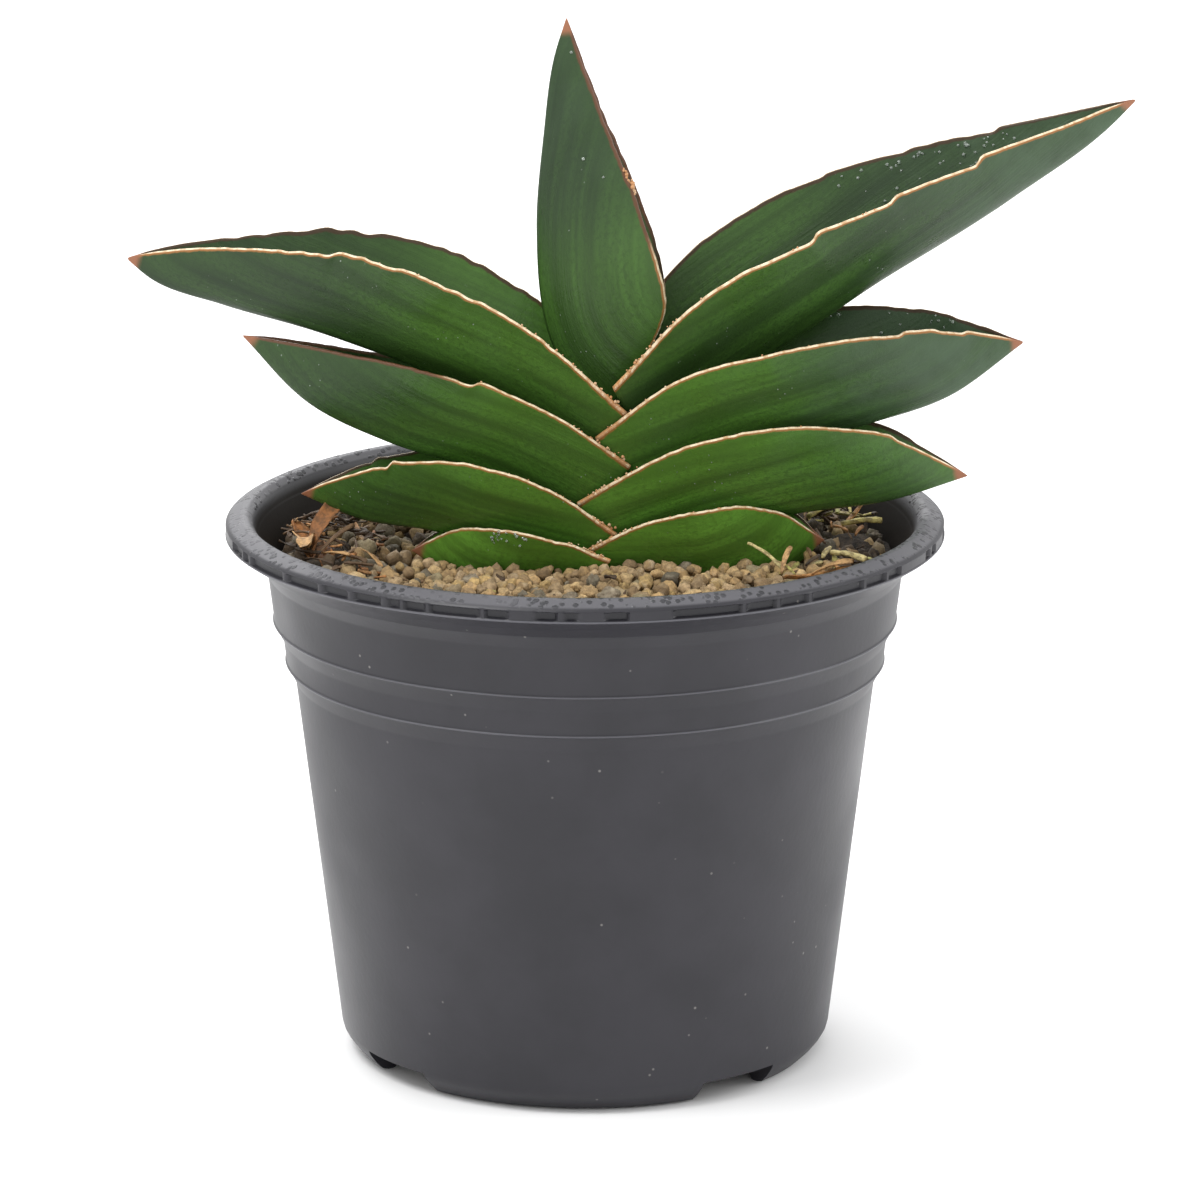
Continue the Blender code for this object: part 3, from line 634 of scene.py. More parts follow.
def rounded(points, radii, steps=2):
    """The line with each inner corner swapped for a small curve; radii are how far back it starts."""
    line = [Vector(points[0])]
    for before, corner, after, radius in zip(points, points[1:], points[2:], radii):
        before, corner, after = Vector(before), Vector(corner), Vector(after)
        start = corner + (before - corner).normalized() * min(radius, 0.45 * (before - corner).length)
        end = corner + (after - corner).normalized() * min(radius, 0.45 * (after - corner).length)
        for step in range(steps + 1):
            share = step / steps
            line.append(start.lerp(corner, share).lerp(corner.lerp(end, share), share))
    line.append(Vector(points[-1]))
    return line


def pot_body_line():
    """The wall's outline from under the rim to the bottom corner, with a step below each band."""
    rim = RIM_RADIUS / MM
    height = POT_TOP / MM - RIM_SKIRT - RIM_FLARE
    radius = rim - RIM_OVERHANG
    line = [(radius, height)]
    for band in BANDS:
        height -= band
        radius -= BODY_TAPER * band
        line += [(radius, height + 0.25), (radius + SEAM, height), (radius - 0.1, height - 0.3)]
        height -= BAND_SLOPE
        radius -= BAND_STEP
        line.append((radius, height))
    radius -= BODY_TAPER * (height - BASE_CORNER)
    line.append((radius, BASE_CORNER))
    return line


def pot_profile():
    """The pot's outline from the lip's inner edge, down the outside, under the floor and back up inside."""
    rim = RIM_RADIUS / MM
    top = POT_TOP / MM
    lip = rim - LIP_WIDTH
    skirt = top - RIM_SKIRT
    body = pot_body_line()
    corner = body[-1][0]
    foot = corner - 0.8 * BASE_CORNER
    outside = [
        (lip, top - 0.6), (lip + 0.9, top + 0.45), (lip + 1.9, top + 0.6), (rim - 0.5, top - 0.5),
        (rim, top - 1.0), (rim, top - 1.22), (rim - 0.05, skirt + 0.62), (rim - 0.08, skirt + 0.45),
        (rim + 0.12, skirt + 0.2), (rim - 0.3, skirt - 0.1),
        (rim - 2.6, skirt - 1.6), (rim - 5.2, skirt - 3.6), *body, (foot, 0.0), (foot - FOOT_WIDTH, 0.0),
        (foot - FOOT_WIDTH - FLOOR_SLOPE, FLOOR_RISE), (PAD_RADIUS + FLOOR_SLOPE, FLOOR_RISE),
        (PAD_RADIUS, 0.0), (0.0, 0.0),
    ]
    radii = [0.3] * 11 + [0.25] * len(body) + [3.0, 0.5, 0.6, 0.6, 0.5, 0.0]
    radii[10 + len(body)] = 1.0
    inside = [
        (0.0, WALL), (PAD_RADIUS - 0.5, WALL), (PAD_RADIUS + 1.0, FLOOR_RISE + WALL),
        (corner - WALL - 1.6, FLOOR_RISE + WALL), (corner - WALL, FLOOR_RISE + WALL + 1.6),
        *[(radius - WALL, height) for radius, height in reversed(body[:-1])],
        (lip - 0.6, top - 2.2), (lip, top - 0.6),
    ]
    return rounded(outside, radii), rounded(inside, [0.8] * len(inside))


def seam_heights():
    """Heights of the fine lines where the wall steps in, and under the rim's skirt, where a pale highlight
    is painted.
    """
    top = POT_TOP / MM
    first = top - RIM_SKIRT - RIM_FLARE - BANDS[0]
    return [height * MM for height in (first, first - BAND_SLOPE - BANDS[1], top - RIM_SKIRT + 0.2)]


def pocket_ribs(rng):
    """Angles of the small ribs on the rim's outer edge, at uneven distances."""
    ribs = []
    angle = 0.0
    while angle < math.tau - math.radians(4.0):
        ribs.append(angle)
        angle += math.radians(rng.choice((3.2, 4.5, 6.0, 6.5, 9.0, 12.0)))
    return ribs


def pocket_depth(angle, height, ribs, filled):
    """How far the rim's outer edge is sunk at a place: shallow pockets between narrow ribs."""
    top = POT_TOP / MM
    inside = smooth_step(height, top - RIM_SKIRT + 0.46, top - RIM_SKIRT + 0.6)
    inside *= 1.0 - smooth_step(height, top - 1.2, top - 1.05)
    if inside <= 0.0:
        return 0.0
    index = int(np.searchsorted(ribs, angle, side="right")) - 1
    if filled[index]:
        return 0.0
    following = ribs[index + 1] if index + 1 < len(ribs) else math.tau
    distance = min(angle - ribs[index], following - angle)
    return POCKET_DEPTH * inside * smooth_step(distance, 0.5 * RIB_WIDTH, RIB_WIDTH)


PLASTIC, PALER_PLASTIC, CLOUD_TINT = (0.020, 0.0195, 0.024), (0.027, 0.026, 0.032), (0.036, 0.035, 0.041)
LIP_HIGHLIGHT, PIT_TINT, POCKET_SHADE = (0.125, 0.123, 0.135), (0.022, 0.022, 0.026), (0.012, 0.012, 0.015)
SEAM_HIGHLIGHT, STAIN_AND_SHADE_TINT, GRIT_TINT = (0.16, 0.16, 0.18), (0.016, 0.013, 0.010), (0.36, 0.34, 0.32)
# A cone just inside the wall's inner face, in millimetres: what lies within it is darkened, partly stain and
# partly painted shade.
LINING_RADIUS, LINING_HEIGHT, LINING_SLOPE = 52.6, 83.0, 0.375


def pot_material():
    """Grey-black plastic: painted highlights on the lip's top and seams, painted shade in the rim pockets,
    stain and painted shade inside, pits and a little grit.
    """
    shader = Shader("pot_plastic", roughness=0.42)
    band, mix, times = shader.band, shader.mix, shader.times
    x, y, height = shader.split(shader.place())
    radius = shader.math("SQRT", shader.math("ADD", times(x, x), times(y, y)))
    mottle = shader.noise(shader.place((60.0, 60.0, 60.0)), 4.0)
    cloud = shader.noise(shader.place((18.0, 18.0, 30.0)), 3.0)
    colour = mix(band(mottle, 0.3, 0.7), PLASTIC, PALER_PLASTIC)
    colour = mix(band(cloud, 0.45, 0.75, 0.0, 0.35), colour, CLOUD_TINT)
    # Painted highlight: the top of the lip is painted pale.
    lip = band(height, POT_TOP - 0.7 * MM, POT_TOP - 0.3 * MM)
    colour = mix(times(lip, 0.7), colour, LIP_HIGHLIGHT)
    pits = shader.cells(shader.place((760.0, 760.0, 760.0)))
    patches = band(shader.noise(shader.place((90.0, 90.0, 90.0)), 2.0), 0.36, 0.55, 0.3, 1.0)
    pitted = times(band(pits, 0.46, 0.28), times(patches, lip))
    colour = mix(times(pitted, 0.85), colour, PIT_TINT)
    # Painted shade: the sunk pockets in the rim's skirt are painted darker.
    skirt = times(band(height, POT_TOP - 2.7 * MM, POT_TOP - 2.5 * MM),
                  band(height, POT_TOP - 1.0 * MM, POT_TOP - 1.2 * MM))
    pocket_shade = times(skirt, band(radius, RIM_RADIUS - 0.15 * MM, RIM_RADIUS - 0.5 * MM))
    colour = mix(times(pocket_shade, 0.6), colour, POCKET_SHADE)
    # Painted highlight: a pale line at each seam height.
    for seam in seam_heights():
        seam_highlight = shader.math("COMPARE", height, seam)
        seam_highlight.node.inputs[2].default_value = 0.16 * MM
        colour = mix(times(seam_highlight, 0.5), colour, SEAM_HIGHLIGHT)
    # Inside the wall below the lip: darker, partly stain and partly painted shade, and less specular.
    wall = shader.math("MULTIPLY_ADD", height, LINING_SLOPE)
    wall.node.inputs[2].default_value = (LINING_RADIUS - LINING_HEIGHT * LINING_SLOPE) * MM
    depth = shader.math("SUBTRACT", wall, radius)
    stain_and_shade = times(band(depth, 0.0, 0.15 * MM), band(height, POT_TOP - 0.8 * MM, POT_TOP - 2.6 * MM))
    colour = mix(times(stain_and_shade, 0.85), colour, STAIN_AND_SHADE_TINT)
    grit = shader.cells(shader.place((260.0, 260.0, 260.0)))
    dusty = shader.noise(shader.place((25.0, 25.0, 25.0)), 2.0)
    dust = times(band(grit, 0.08, 0.03), band(dusty, 0.5, 0.6))
    colour = mix(times(dust, 0.45), colour, GRIT_TINT)
    shader.colour(colour)
    shader.roughness(band(cloud, 0.35, 0.7, 0.36, 0.5))
    shader.feed(shader.surface.inputs["Specular IOR Level"], band(stain_and_shade, 0.0, 1.0, 0.38, 0.05))
    shader.bump(shader.noise(shader.place((900.0, 900.0, 900.0)), 3.0), 0.12, 0.0002)
    shader.bump(pitted, 0.6, 0.0003)
    return shader.material


def build_pot():
    """The nursery pot: one closed turned shell with rim pockets and four drain notches."""
    outside, inside = pot_profile()
    line = outside + inside[1:-1]
    rng = random.Random(SEED)
    ribs = pocket_ribs(rng)
    filled = [rng.random() < FILLED_POCKETS for _ in ribs]
    points, axis_rows = [], []
    for row, place in enumerate(line):
        if place.x < 1e-6:
            axis_rows.append(row)
        for side in range(POT_SIDES):
            angle = math.tau * side / POT_SIDES
            radius = place.x
            if radius > RIM_RADIUS / MM - 1.5 and row < len(outside):
                radius -= pocket_depth(angle, place.y, ribs, filled)
            spot = Vector((3.0 * math.cos(angle), 3.0 * math.sin(angle), place.y * 0.08))
            radius += WALL_WOBBLE * noise.noise(spot)
            radius = 0.0 if row in axis_rows else radius
            points.append(Vector((radius * math.cos(angle), radius * math.sin(angle), place.y)) * MM)
    faces = ring_faces(len(line), POT_SIDES)
    last = (len(line) - 1) * POT_SIDES
    faces += [(last + side, last + (side + 1) % POT_SIDES, (side + 1) % POT_SIDES, side)
              for side in range(POT_SIDES)]
    shape = bmesh.new()
    shape.from_mesh(mesh_from("pot_shell", points, faces))
    bmesh.ops.remove_doubles(shape, verts=shape.verts[:], dist=WELD)
    bmesh.ops.recalc_face_normals(shape, faces=shape.faces[:])
    pot = add_object("nursery_pot", mesh_from_bmesh("nursery_pot", shape), pot_material())
    cutter = drain_cutter()
    change = pot.modifiers.new("drains", "BOOLEAN")
    change.solver = "EXACT"
    change.object = cutter
    apply_modifiers(pot)
    bpy.data.objects.remove(cutter)
    pot.data.shade_smooth()
    pot.data.set_sharp_from_angle(angle=math.radians(40))
    return own(pot, "pot_plastic", "pot")


def drain_cutter():
    """Four blocks that open the pot's bottom corner."""
    proud = 2.0
    width, depth, height = DRAIN_SIZE
    corner = pot_body_line()[-1][0]
    shape = bmesh.new()
    for index in range(DRAIN_COUNT):
        turn = DRAIN_START + index * math.tau / DRAIN_COUNT
        block = bmesh.ops.create_cube(shape, size=1.0)["verts"]
        reach = corner + proud - 0.5 * (depth + proud)
        size = Matrix.Diagonal((width * MM, (depth + proud) * MM, (height + proud) * MM, 1.0))
        middle = height - 0.5 * (height + proud)
        place = Vector((math.sin(turn) * reach, -math.cos(turn) * reach, middle)) * MM
        bmesh.ops.transform(shape, matrix=Matrix.Translation(place) @ Matrix.Rotation(turn, 4, "Z") @ size,
                            verts=block)
    uprights = [edge for edge in shape.edges if edge.calc_length() < (height + proud + 0.1) * MM
                and abs(edge.verts[0].co.z - edge.verts[1].co.z) > MM]
    bmesh.ops.bevel(shape, geom=uprights, offset=0.8 * MM, segments=3, affect="EDGES")
    return add_object("drain_cutter", mesh_from_bmesh("drain_cutter", shape))


# ---- Gravel ----------------------------------------------------------------------------------------
GRAIN_RADIUS = 1.22
GRAIN_SPREAD = 0.26
GRAIN_LIMITS = (0.65, 1.95)
BED_DEPTH = 4.2
GRAIN_TRIES = 9
GRAIN_COUNT = 3600
HEAPS = ((-45.0, 2.0, 13.0, 5.2), (-34.0, 28.0, 18.0, 4.0), (45.0, 8.0, 13.0, 5.0), (34.0, 30.0, 18.0, 4.0),
         (8.0, -12.0, 10.0, 1.2), (0.0, 40.0, 22.0, 2.0), (26.0, -34.0, 16.0, -0.9))
GRAIN_SHAPES = 10
CELL = 4.0
NESTLING = 0.9  # how near two grains' middles come, as a share of their radii
CLEARANCE = 0.82  # how near a grain's middle comes to a leaf, as a share of its radius
SPILL = 1.0  # how far a grain may stand above the fill
FRONT_LINE = -14.0  # in front of this the topmost grains are the finest
TOP_LAYER, SECOND_LAYER = 1.6, 2.6
BED_RINGS, BED_SIDES = 26, 120
BED_RISE, BED_LUMPS, BED_FLOOR = 0.8, 0.9, 9.5
TAN_TINTS = ((0.46, 0.30, 0.135), (0.53, 0.37, 0.18), (0.37, 0.25, 0.12), (0.44, 0.31, 0.17),
             (0.30, 0.20, 0.10), (0.50, 0.34, 0.14))
GREY_TINTS = ((0.24, 0.20, 0.14), (0.19, 0.165, 0.115), (0.28, 0.23, 0.13), (0.14, 0.125, 0.09),
              (0.34, 0.26, 0.15))
DARK_TINTS = ((0.050, 0.034, 0.020), (0.085, 0.055, 0.030), (0.032, 0.024, 0.017))


def gravel_radius():
    """Inside radius of the pot at the gravel."""
    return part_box("gravel_dressing")[1].x / MM - 0.1


def solid_tree(objects):
    """One search tree over the objects' surfaces, in millimetres."""
    points, faces = [], []
    for made in objects:
        first = len(points)
        points += [vertex.co / MM for vertex in made.data.vertices]
        faces += [[first + index for index in face.vertices] for face in made.data.polygons]
    return BVHTree.FromPolygons(points, faces)


def clear_of(tree, place, radius):
    """True where a grain lies outside the leaves and no nearer than its radius."""
    near, normal, _, distance = tree.find_nearest(place, radius * 3.0)
    if near is None:
        return True
    return (place - near).dot(normal) > 0.0 and distance > radius * CLEARANCE


def pile_grains(tree):
    """Drop grains one by one where they come to lie lowest, until the pot is full to its level."""
    rng = random.Random(SEED)
    reach = gravel_radius()
    cells = {}
    grains = []
    for _ in range(GRAIN_COUNT):
        radius = min(GRAIN_LIMITS[1], max(GRAIN_LIMITS[0], rng.gauss(GRAIN_RADIUS, GRAIN_SPREAD)))
        best = None
        for _ in range(GRAIN_TRIES):
            out = (reach - radius) * math.sqrt(rng.random())
            angle = math.tau * rng.random()
            x, y = out * math.cos(angle), out * math.sin(angle)
            z = resting_height(cells, x, y, radius, fill_height(x, y) - BED_DEPTH)
            if (best is None or z < best[2]) and clear_of(tree, Vector((x, y, z)), radius):
                best = (x, y, z)
        if best is None or best[2] + radius > fill_height(best[0], best[1]) + SPILL:
            continue
        grains.append((*best, radius))
        cells.setdefault((int(best[0] // CELL), int(best[1] // CELL)), []).append((*best, radius))
    return grains


def fill_height(x, y):
    """Mean height of the fill, with HEAPS of (x, y, reach, height) on it."""
    height = GRAVEL_LEVEL / MM
    for heap_x, heap_y, reach, rise in HEAPS:
        height += rise * math.exp(-((x - heap_x) ** 2 + (y - heap_y) ** 2) / (0.5 * reach * reach))
    return height


def resting_height(cells, x, y, radius, floor):
    """Height at which a grain dropped at x, y comes to rest on the ones below."""
    height = floor + radius * 0.5
    column, row = int(x // CELL), int(y // CELL)
    for i in (column - 1, column, column + 1):
        for j in (row - 1, row, row + 1):
            for other_x, other_y, other_z, other_radius in cells.get((i, j), ()):
                touch = (radius + other_radius) * NESTLING
                flat = (x - other_x) ** 2 + (y - other_y) ** 2
                if flat < touch * touch:
                    height = max(height, other_z + math.sqrt(touch * touch - flat))
    return height


def grain_shapes():
    """Lumpy stones of unit radius, from coarse ones for below to fine ones for the front."""
    shapes = []
    for subdivisions in (1, 2, 3):
        row = []
        ball, triangles = unit_ball(subdivisions)
        for index in range(GRAIN_SHAPES):
            offset = Vector((index * 3.7, 1.3, 5.0))
            points = []
            for corner in ball:
                corner = Vector(corner)
                lumps = 0.38 * noise.noise(corner * 1.1 + offset) + 0.26 * noise.noise(corner * 2.6 + offset)
                points.append(corner * (1.0 + lumps + 0.18 * noise.noise(corner * 6.0 + offset)))
            row.append((np.array(points), triangles))
        shapes.append(row)
    return shapes


def grain_tint(rng, x, y):
    """Tan in front, greyer and dirtier to the left and behind, dark crumbs of mix near the wall."""
    back = smooth_step(y, -4.0, 20.0)
    away = min(1.0, smooth_step(-x, 18.0, 38.0) + 0.7 * back + 0.6 * smooth_step(x, 30.0, 44.0))
    wall = min(1.0, smooth_step(-x, 36.0, 47.0) + 0.7 * back + smooth_step(x, 34.0, 44.0))
    shade = rng.uniform(0.75, 1.25) * (1.0 - 0.2 * away)
    if rng.random() < 0.5 * wall:
        base = rng.choice(DARK_TINTS)
    elif rng.random() < 0.1 + 0.45 * away:
        base = rng.choice(GREY_TINTS)
    else:
        base = rng.choice(TAN_TINTS)
    return (*[channel * shade for channel in base], 1.0)


def gravel_material():
    """Stone in each grain's own tint, speckled darker and dusted paler."""
    shader = Shader("gravel", roughness=0.85)
    tint = shader.attribute("tint", "Color")
    speckle = shader.noise(shader.place((1500.0, 1500.0, 1500.0)), 4.0, 0.7)
    dirt = shader.noise(shader.place((420.0, 420.0, 420.0)), 3.0)
    dark = shader.mix(0.5, tint, (0.10, 0.065, 0.035))
    colour = shader.mix(shader.band(speckle, 0.38, 0.62), dark, tint)
    colour = shader.mix(shader.band(dirt, 0.55, 0.8, 0.0, 0.5), colour, (0.60, 0.50, 0.36))
    shader.colour(colour)
    shader.bump(speckle, 0.7, 0.0004)
    shader.bump(dirt, 0.5, 0.0008)
    return shader.material


def build_gravel(tree, material):
    """All the grains, with the best formed in front."""
    grains = pile_grains(tree)
    rng = random.Random(SEED + 1)
    shapes = grain_shapes()
    blocks = {"gravel_front": [], "gravel_grains": []}
    for x, y, z, radius in grains:
        fineness = 0
        if z > fill_height(x, y) - SECOND_LAYER:
            fineness = 2 if y < FRONT_LINE and z > fill_height(x, y) - TOP_LAYER else 1
        base, triangles = rng.choice(shapes[fineness])
        turn = np.array(Euler([rng.uniform(0, math.tau) for _ in range(3)]).to_matrix())
        size = np.array([rng.uniform(0.85, 1.15) for _ in range(3)]) * radius
        corners = (base * size) @ turn.T + np.array((x, y, z))
        blocks["gravel_front" if fineness == 2 else "gravel_grains"].append(
            (corners * MM, triangles, grain_tint(rng, x, y)))
    for name, block in blocks.items():
        starts = np.cumsum([0] + [len(corners) for corners, _, _ in block])
        points = np.concatenate([corners for corners, _, _ in block])
        faces = np.concatenate([triangles + start for (_, triangles, _), start in zip(block, starts)])
        mesh = mesh_from(name, points.tolist(), faces.tolist())
        set_attribute(mesh, "tint", "FLOAT_COLOR", [tint for corners, _, tint in block for _ in corners])
        made = own(add_object(name, mesh, material), "gravel")
        if name == "gravel_grains":
            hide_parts("gravel_dressing")


def build_bed():
    """The dark fill under the loose grains."""
    reach = gravel_radius()
    points = []
    for row in range(BED_RINGS + 1):
        for side in range(BED_SIDES):
            angle = math.tau * side / BED_SIDES
            radius = reach * row / BED_RINGS
            x, y = radius * math.cos(angle), radius * math.sin(angle)
            height = fill_height(x, y) - BED_DEPTH + BED_RISE
            height += BED_LUMPS * noise.noise(Vector((x * 0.3, y * 0.3, 4.0)))
            points.append(Vector((x, y, height)) * MM)
    low = GRAVEL_LEVEL - BED_FLOOR * MM
    points += [Vector((point.x, point.y, low)) for point in points[-BED_SIDES:]]
    faces = ring_faces(BED_RINGS + 2, BED_SIDES)
    shape = bmesh.new()
    shape.from_mesh(mesh_from("gravel_bed", points, faces))
    bmesh.ops.remove_doubles(shape, verts=shape.verts[:], dist=WELD)
    bmesh.ops.holes_fill(shape, edges=[edge for edge in shape.edges if edge.is_boundary])
    bmesh.ops.recalc_face_normals(shape, faces=shape.faces[:])
    bed = add_object("gravel_bed", mesh_from_bmesh("gravel_bed", shape), soil_material("bed_grit"))
    return own(bed, "soil")


def soil_material(name):
    shader = Shader(name, roughness=0.95)
    crumbs = shader.noise(shader.place((500.0, 500.0, 500.0)), 5.0, 0.7)
    colour = shader.mix(shader.band(crumbs, 0.35, 0.7), (0.014, 0.010, 0.007), (0.070, 0.048, 0.030))
    shader.colour(colour)
    shader.bump(crumbs, 1.0, 0.0012)
    return shader.material


# ---- Loose bits ------------------------------------------------------------------------------------
STRAW = ((0.52, 0.44, 0.13), (0.44, 0.40, 0.12), (0.60, 0.50, 0.22), (0.36, 0.34, 0.10))
RUSSET = ((0.42, 0.17, 0.045), (0.50, 0.24, 0.08), (0.30, 0.12, 0.035), (0.56, 0.33, 0.14))
MOULD = ((0.060, 0.036, 0.020), (0.035, 0.024, 0.015), (0.11, 0.065, 0.032), (0.16, 0.09, 0.04))
STRIP_ROWS, STRIP_COLUMNS = 14, 10


@dataclass
class Strip:
    """A bent, twisted sliver of bark or dry leaf, in millimetres and degrees."""

    place: tuple
    length: float
    width: float
    thickness: float
    bearing: float
    pitch: float
    bend: float
    twist: float
    curl: float  # how far its edges turn up
    tint: tuple


def strip_mesh(strip, seed):
    """Points and quads of one sliver: a row of ragged oval rings along a bending line."""
    rows, columns = STRIP_ROWS, STRIP_COLUMNS
    points = []
    line = Vector((-0.5 * strip.length, 0.0, 0.0))
    for row in range(rows):
        share = row / (rows - 1)
        ragged = 1.0 + 0.35 * noise.noise(Vector((share * 4.0, seed * 3.1, 2.0)))
        width = 0.5 * strip.width * ragged * (0.35 + 0.65 * math.sin(math.pi * (0.08 + 0.84 * share)) ** 0.6)
        turn = Matrix.Rotation(math.radians(strip.twist) * (share - 0.5), 3, "X")
        lean = Matrix.Rotation(math.radians(strip.bend) * (share - 0.5), 3, "Y")
        for column in range(columns):
            angle = math.tau * column / columns
            across = width * math.cos(angle)
            up = 0.5 * strip.thickness * math.sin(angle) + strip.curl * across * across / max(width, 0.1)
            up += 0.15 * strip.thickness * noise.noise(Vector((share * 6.0, across * 1.5, seed * 1.7)))
            points.append(line + lean @ turn @ Vector((0.0, across, up)))
        line = line + lean @ Vector((strip.length / (rows - 1), 0.0, 0.0))
    faces = ring_faces(rows, columns)
    for start in (0, (rows - 1) * columns):
        points.append(sum(points[start:start + columns], Vector()) / columns)
        centre = len(points) - 1
        for column in range(columns):
            after = start + (column + 1) % columns
            faces.append((start + column, after, centre) if start else (after, start + column, centre))
    turn = Euler((0.0, math.radians(-strip.pitch), math.radians(strip.bearing))).to_matrix()
    return [(turn @ point + Vector(strip.place)) * MM for point in points], faces


def build_strips(name, strips, material, slot, *nodes):
    """One piece made of several slivers, each in its own tint."""
    points, faces, tints = [], [], []
    for seed, strip in enumerate(strips):
        block, quads = strip_mesh(strip, seed)
        faces += [tuple(index + len(points) for index in quad) for quad in quads]
        points += block
        tints += [(*strip.tint, 1.0)] * len(block)
    mesh = mesh_from(name, points, faces)
    fix_normals(mesh)
    set_attribute(mesh, "tint", "FLOAT_COLOR", tints)
    return own(add_object(name, mesh, material), slot, *nodes)


def dry_material():
    """Dry plant matter in each sliver's own tint, with fibres and stains."""
    shader = Shader("dry_matter", roughness=0.7)
    tint = shader.attribute("tint", "Color")
    grain = shader.noise(shader.place((900.0, 900.0, 900.0)), 4.0, 0.65)
    stain = shader.noise(shader.place((330.0, 330.0, 330.0)), 3.0)
    dark = shader.mix(0.75, tint, (0.07, 0.035, 0.012))
    colour = shader.mix(shader.band(grain, 0.35, 0.62), dark, tint)
    colour = shader.mix(shader.band(stain, 0.5, 0.72, 0.0, 0.7), colour, dark)
    shader.colour(colour)
    shader.bump(grain, 0.8, 0.0004)
    return shader.material


def node_place(name):
    """Middle and size of a node's box in millimetres."""
    low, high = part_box(name)
    return (low + high) / 2 / MM, (high - low) / MM


CHIP_BEARINGS = (15.0, -35.0, 50.0, -10.0, 30.0)

# The slivers of each scrap: offset from the middle of its node, then the other fields of Strip in order.
SCRAPS = {
    "dry_straw": (
        ((-1.0, 0.0, 0.0), 8.5, 0.9, 0.5, -42, -24, 30, 30, 0.0, STRAW[2]),
        ((2.4, -0.8, -0.3), 6.0, 1.0, 0.4, 70, 34, 60, 50, 0.1, RUSSET[3]),
    ),
    "dry_scrap_right": (
        ((0.0, 0.0, 0.2), 12.5, 3.0, 0.5, 16, 2, -18, 50, 0.35, RUSSET[1]),
        ((2.0, 1.2, 0.8), 8.0, 1.4, 0.4, 30, 8, 30, 80, 0.2, RUSSET[3]),
    ),
    "dry_scrap_left": (
        ((0.5, 0.0, 0.6), 12.0, 5.0, 0.5, 128, 26, -50, 70, 0.5, RUSSET[0]),
        ((2.6, 1.0, 2.2), 11.0, 3.0, 0.5, 60, 42, 45, 90, 0.5, RUSSET[2]),
        ((-0.6, -1.2, 0.0), 8.0, 3.4, 0.5, 100, -12, 60, 60, 0.6, RUSSET[3]),
        ((4.5, -1.0, 0.8), 9.0, 1.2, 0.5, 35, 30, 30, 60, 0.0, MOULD[3]),
    ),
}


def build_named_bits(material):
    """The modelled chips, straw and scraps, each as a finer piece in the same place."""
    rng = random.Random(SEED + 5)
    for number, bearing in enumerate(CHIP_BEARINGS, start=1):
        node = f"bark_chip_{number}"
        middle, _ = node_place(node)
        lift = fill_height(middle.x, middle.y) + 1.4
        strip = Strip((middle.x, middle.y, lift), 7.0, 1.7, 0.9, bearing, rng.uniform(-8, 14), 24, 40, 0.1,
                      rng.choice(STRAW))
        build_strips(node + "_skin", [strip], material, "bark", node)
    for node, slivers in SCRAPS.items():
        middle, _ = node_place(node)
        strips = [Strip(tuple(middle + Vector(offset)), *fields) for offset, *fields in slivers]
        build_strips(node + "_skin", strips, material, "bark" if node == "dry_straw" else "dry_leaf", node)


LITTER_CLEARANCE = 1.2
# Where small bits lie: bearings in degrees from +X, shares of the gravel's radius, number of tries, tints,
# lengths.
LITTER = (
    ("litter_right", (-22.0, 62.0), (0.66, 0.97), 130, STRAW + MOULD + RUSSET[:2], (1.5, 5.5)),
    ("litter_left", (150.0, 212.0), (0.66, 0.97), 120, RUSSET + MOULD + MOULD, (1.5, 5.0)),
    ("litter_back", (62.0, 150.0), (0.5, 0.96), 110, MOULD + MOULD + STRAW, (1.2, 4.0)),
    ("litter_front", (212.0, 338.0), (0.35, 0.95), 26, MOULD + STRAW[:2], (0.8, 2.6)),
)


def build_litter(material, tree):
    """Short bits of straw, bark and mould strewn over the gravel."""
    rng = random.Random(SEED + 6)
    for name, bearings, shares, tries, tints, lengths in LITTER:
        strips = []
        for _ in range(tries):
            bearing = math.radians(rng.uniform(*bearings))
            out = rng.uniform(*shares) * gravel_radius()
            x, y = out * math.cos(bearing), out * math.sin(bearing)
            place = Vector((x, y, fill_height(x, y) + rng.uniform(-0.4, 1.2)))
            if not clear_of(tree, place, LITTER_CLEARANCE):
                continue
            length = min(rng.uniform(*lengths), 1.6 * (gravel_radius() - out) + 1.5)
            strips.append(Strip(tuple(place), length, rng.uniform(0.35, 1.1), rng.uniform(0.25, 0.6),
                                rng.uniform(0, 180), rng.gauss(0, 16), rng.uniform(-40, 50),
                                rng.uniform(0, 120), rng.uniform(0, 0.4), rng.choice(tints)))
        build_strips(name, strips, material, "bark")


PEBBLE_TINTS = (TAN_TINTS[1], TAN_TINTS[3], TAN_TINTS[0], GREY_TINTS[0], TAN_TINTS[5], TAN_TINTS[1],
                GREY_TINTS[1], GREY_TINTS[3])


def build_pebbles(material):
    """Larger stones lying on the gravel."""
    ball, triangles = unit_ball(4)
    for number, tint in enumerate(PEBBLE_TINTS, start=1):
        node = f"pebble_{number}"
        middle, size = node_place(node)
        offset = Vector((number * 4.1, 7.0, 2.0))
        points = []
        for corner in ball:
            corner = Vector(corner)
            lumps = 0.35 * noise.noise(corner * 1.2 + offset) + 0.1 * noise.noise(corner * 4.0 + offset)
            corner *= 1.0 + lumps
            points.append(Vector([c * 0.5 * d for c, d in zip(corner, size)]))
        place = Vector((middle.x, middle.y, fill_height(middle.x, middle.y) + 0.5 * size.z - 0.5))
        mesh = mesh_from(node + "_skin", [(point + place) * MM for point in points],
                         [tuple(int(corner) for corner in row) for row in triangles])
        set_attribute(mesh, "tint", "FLOAT_COLOR", [(*tint, 1.0)] * len(points))
        own(add_object(node + "_skin", mesh, material), "gravel", node)


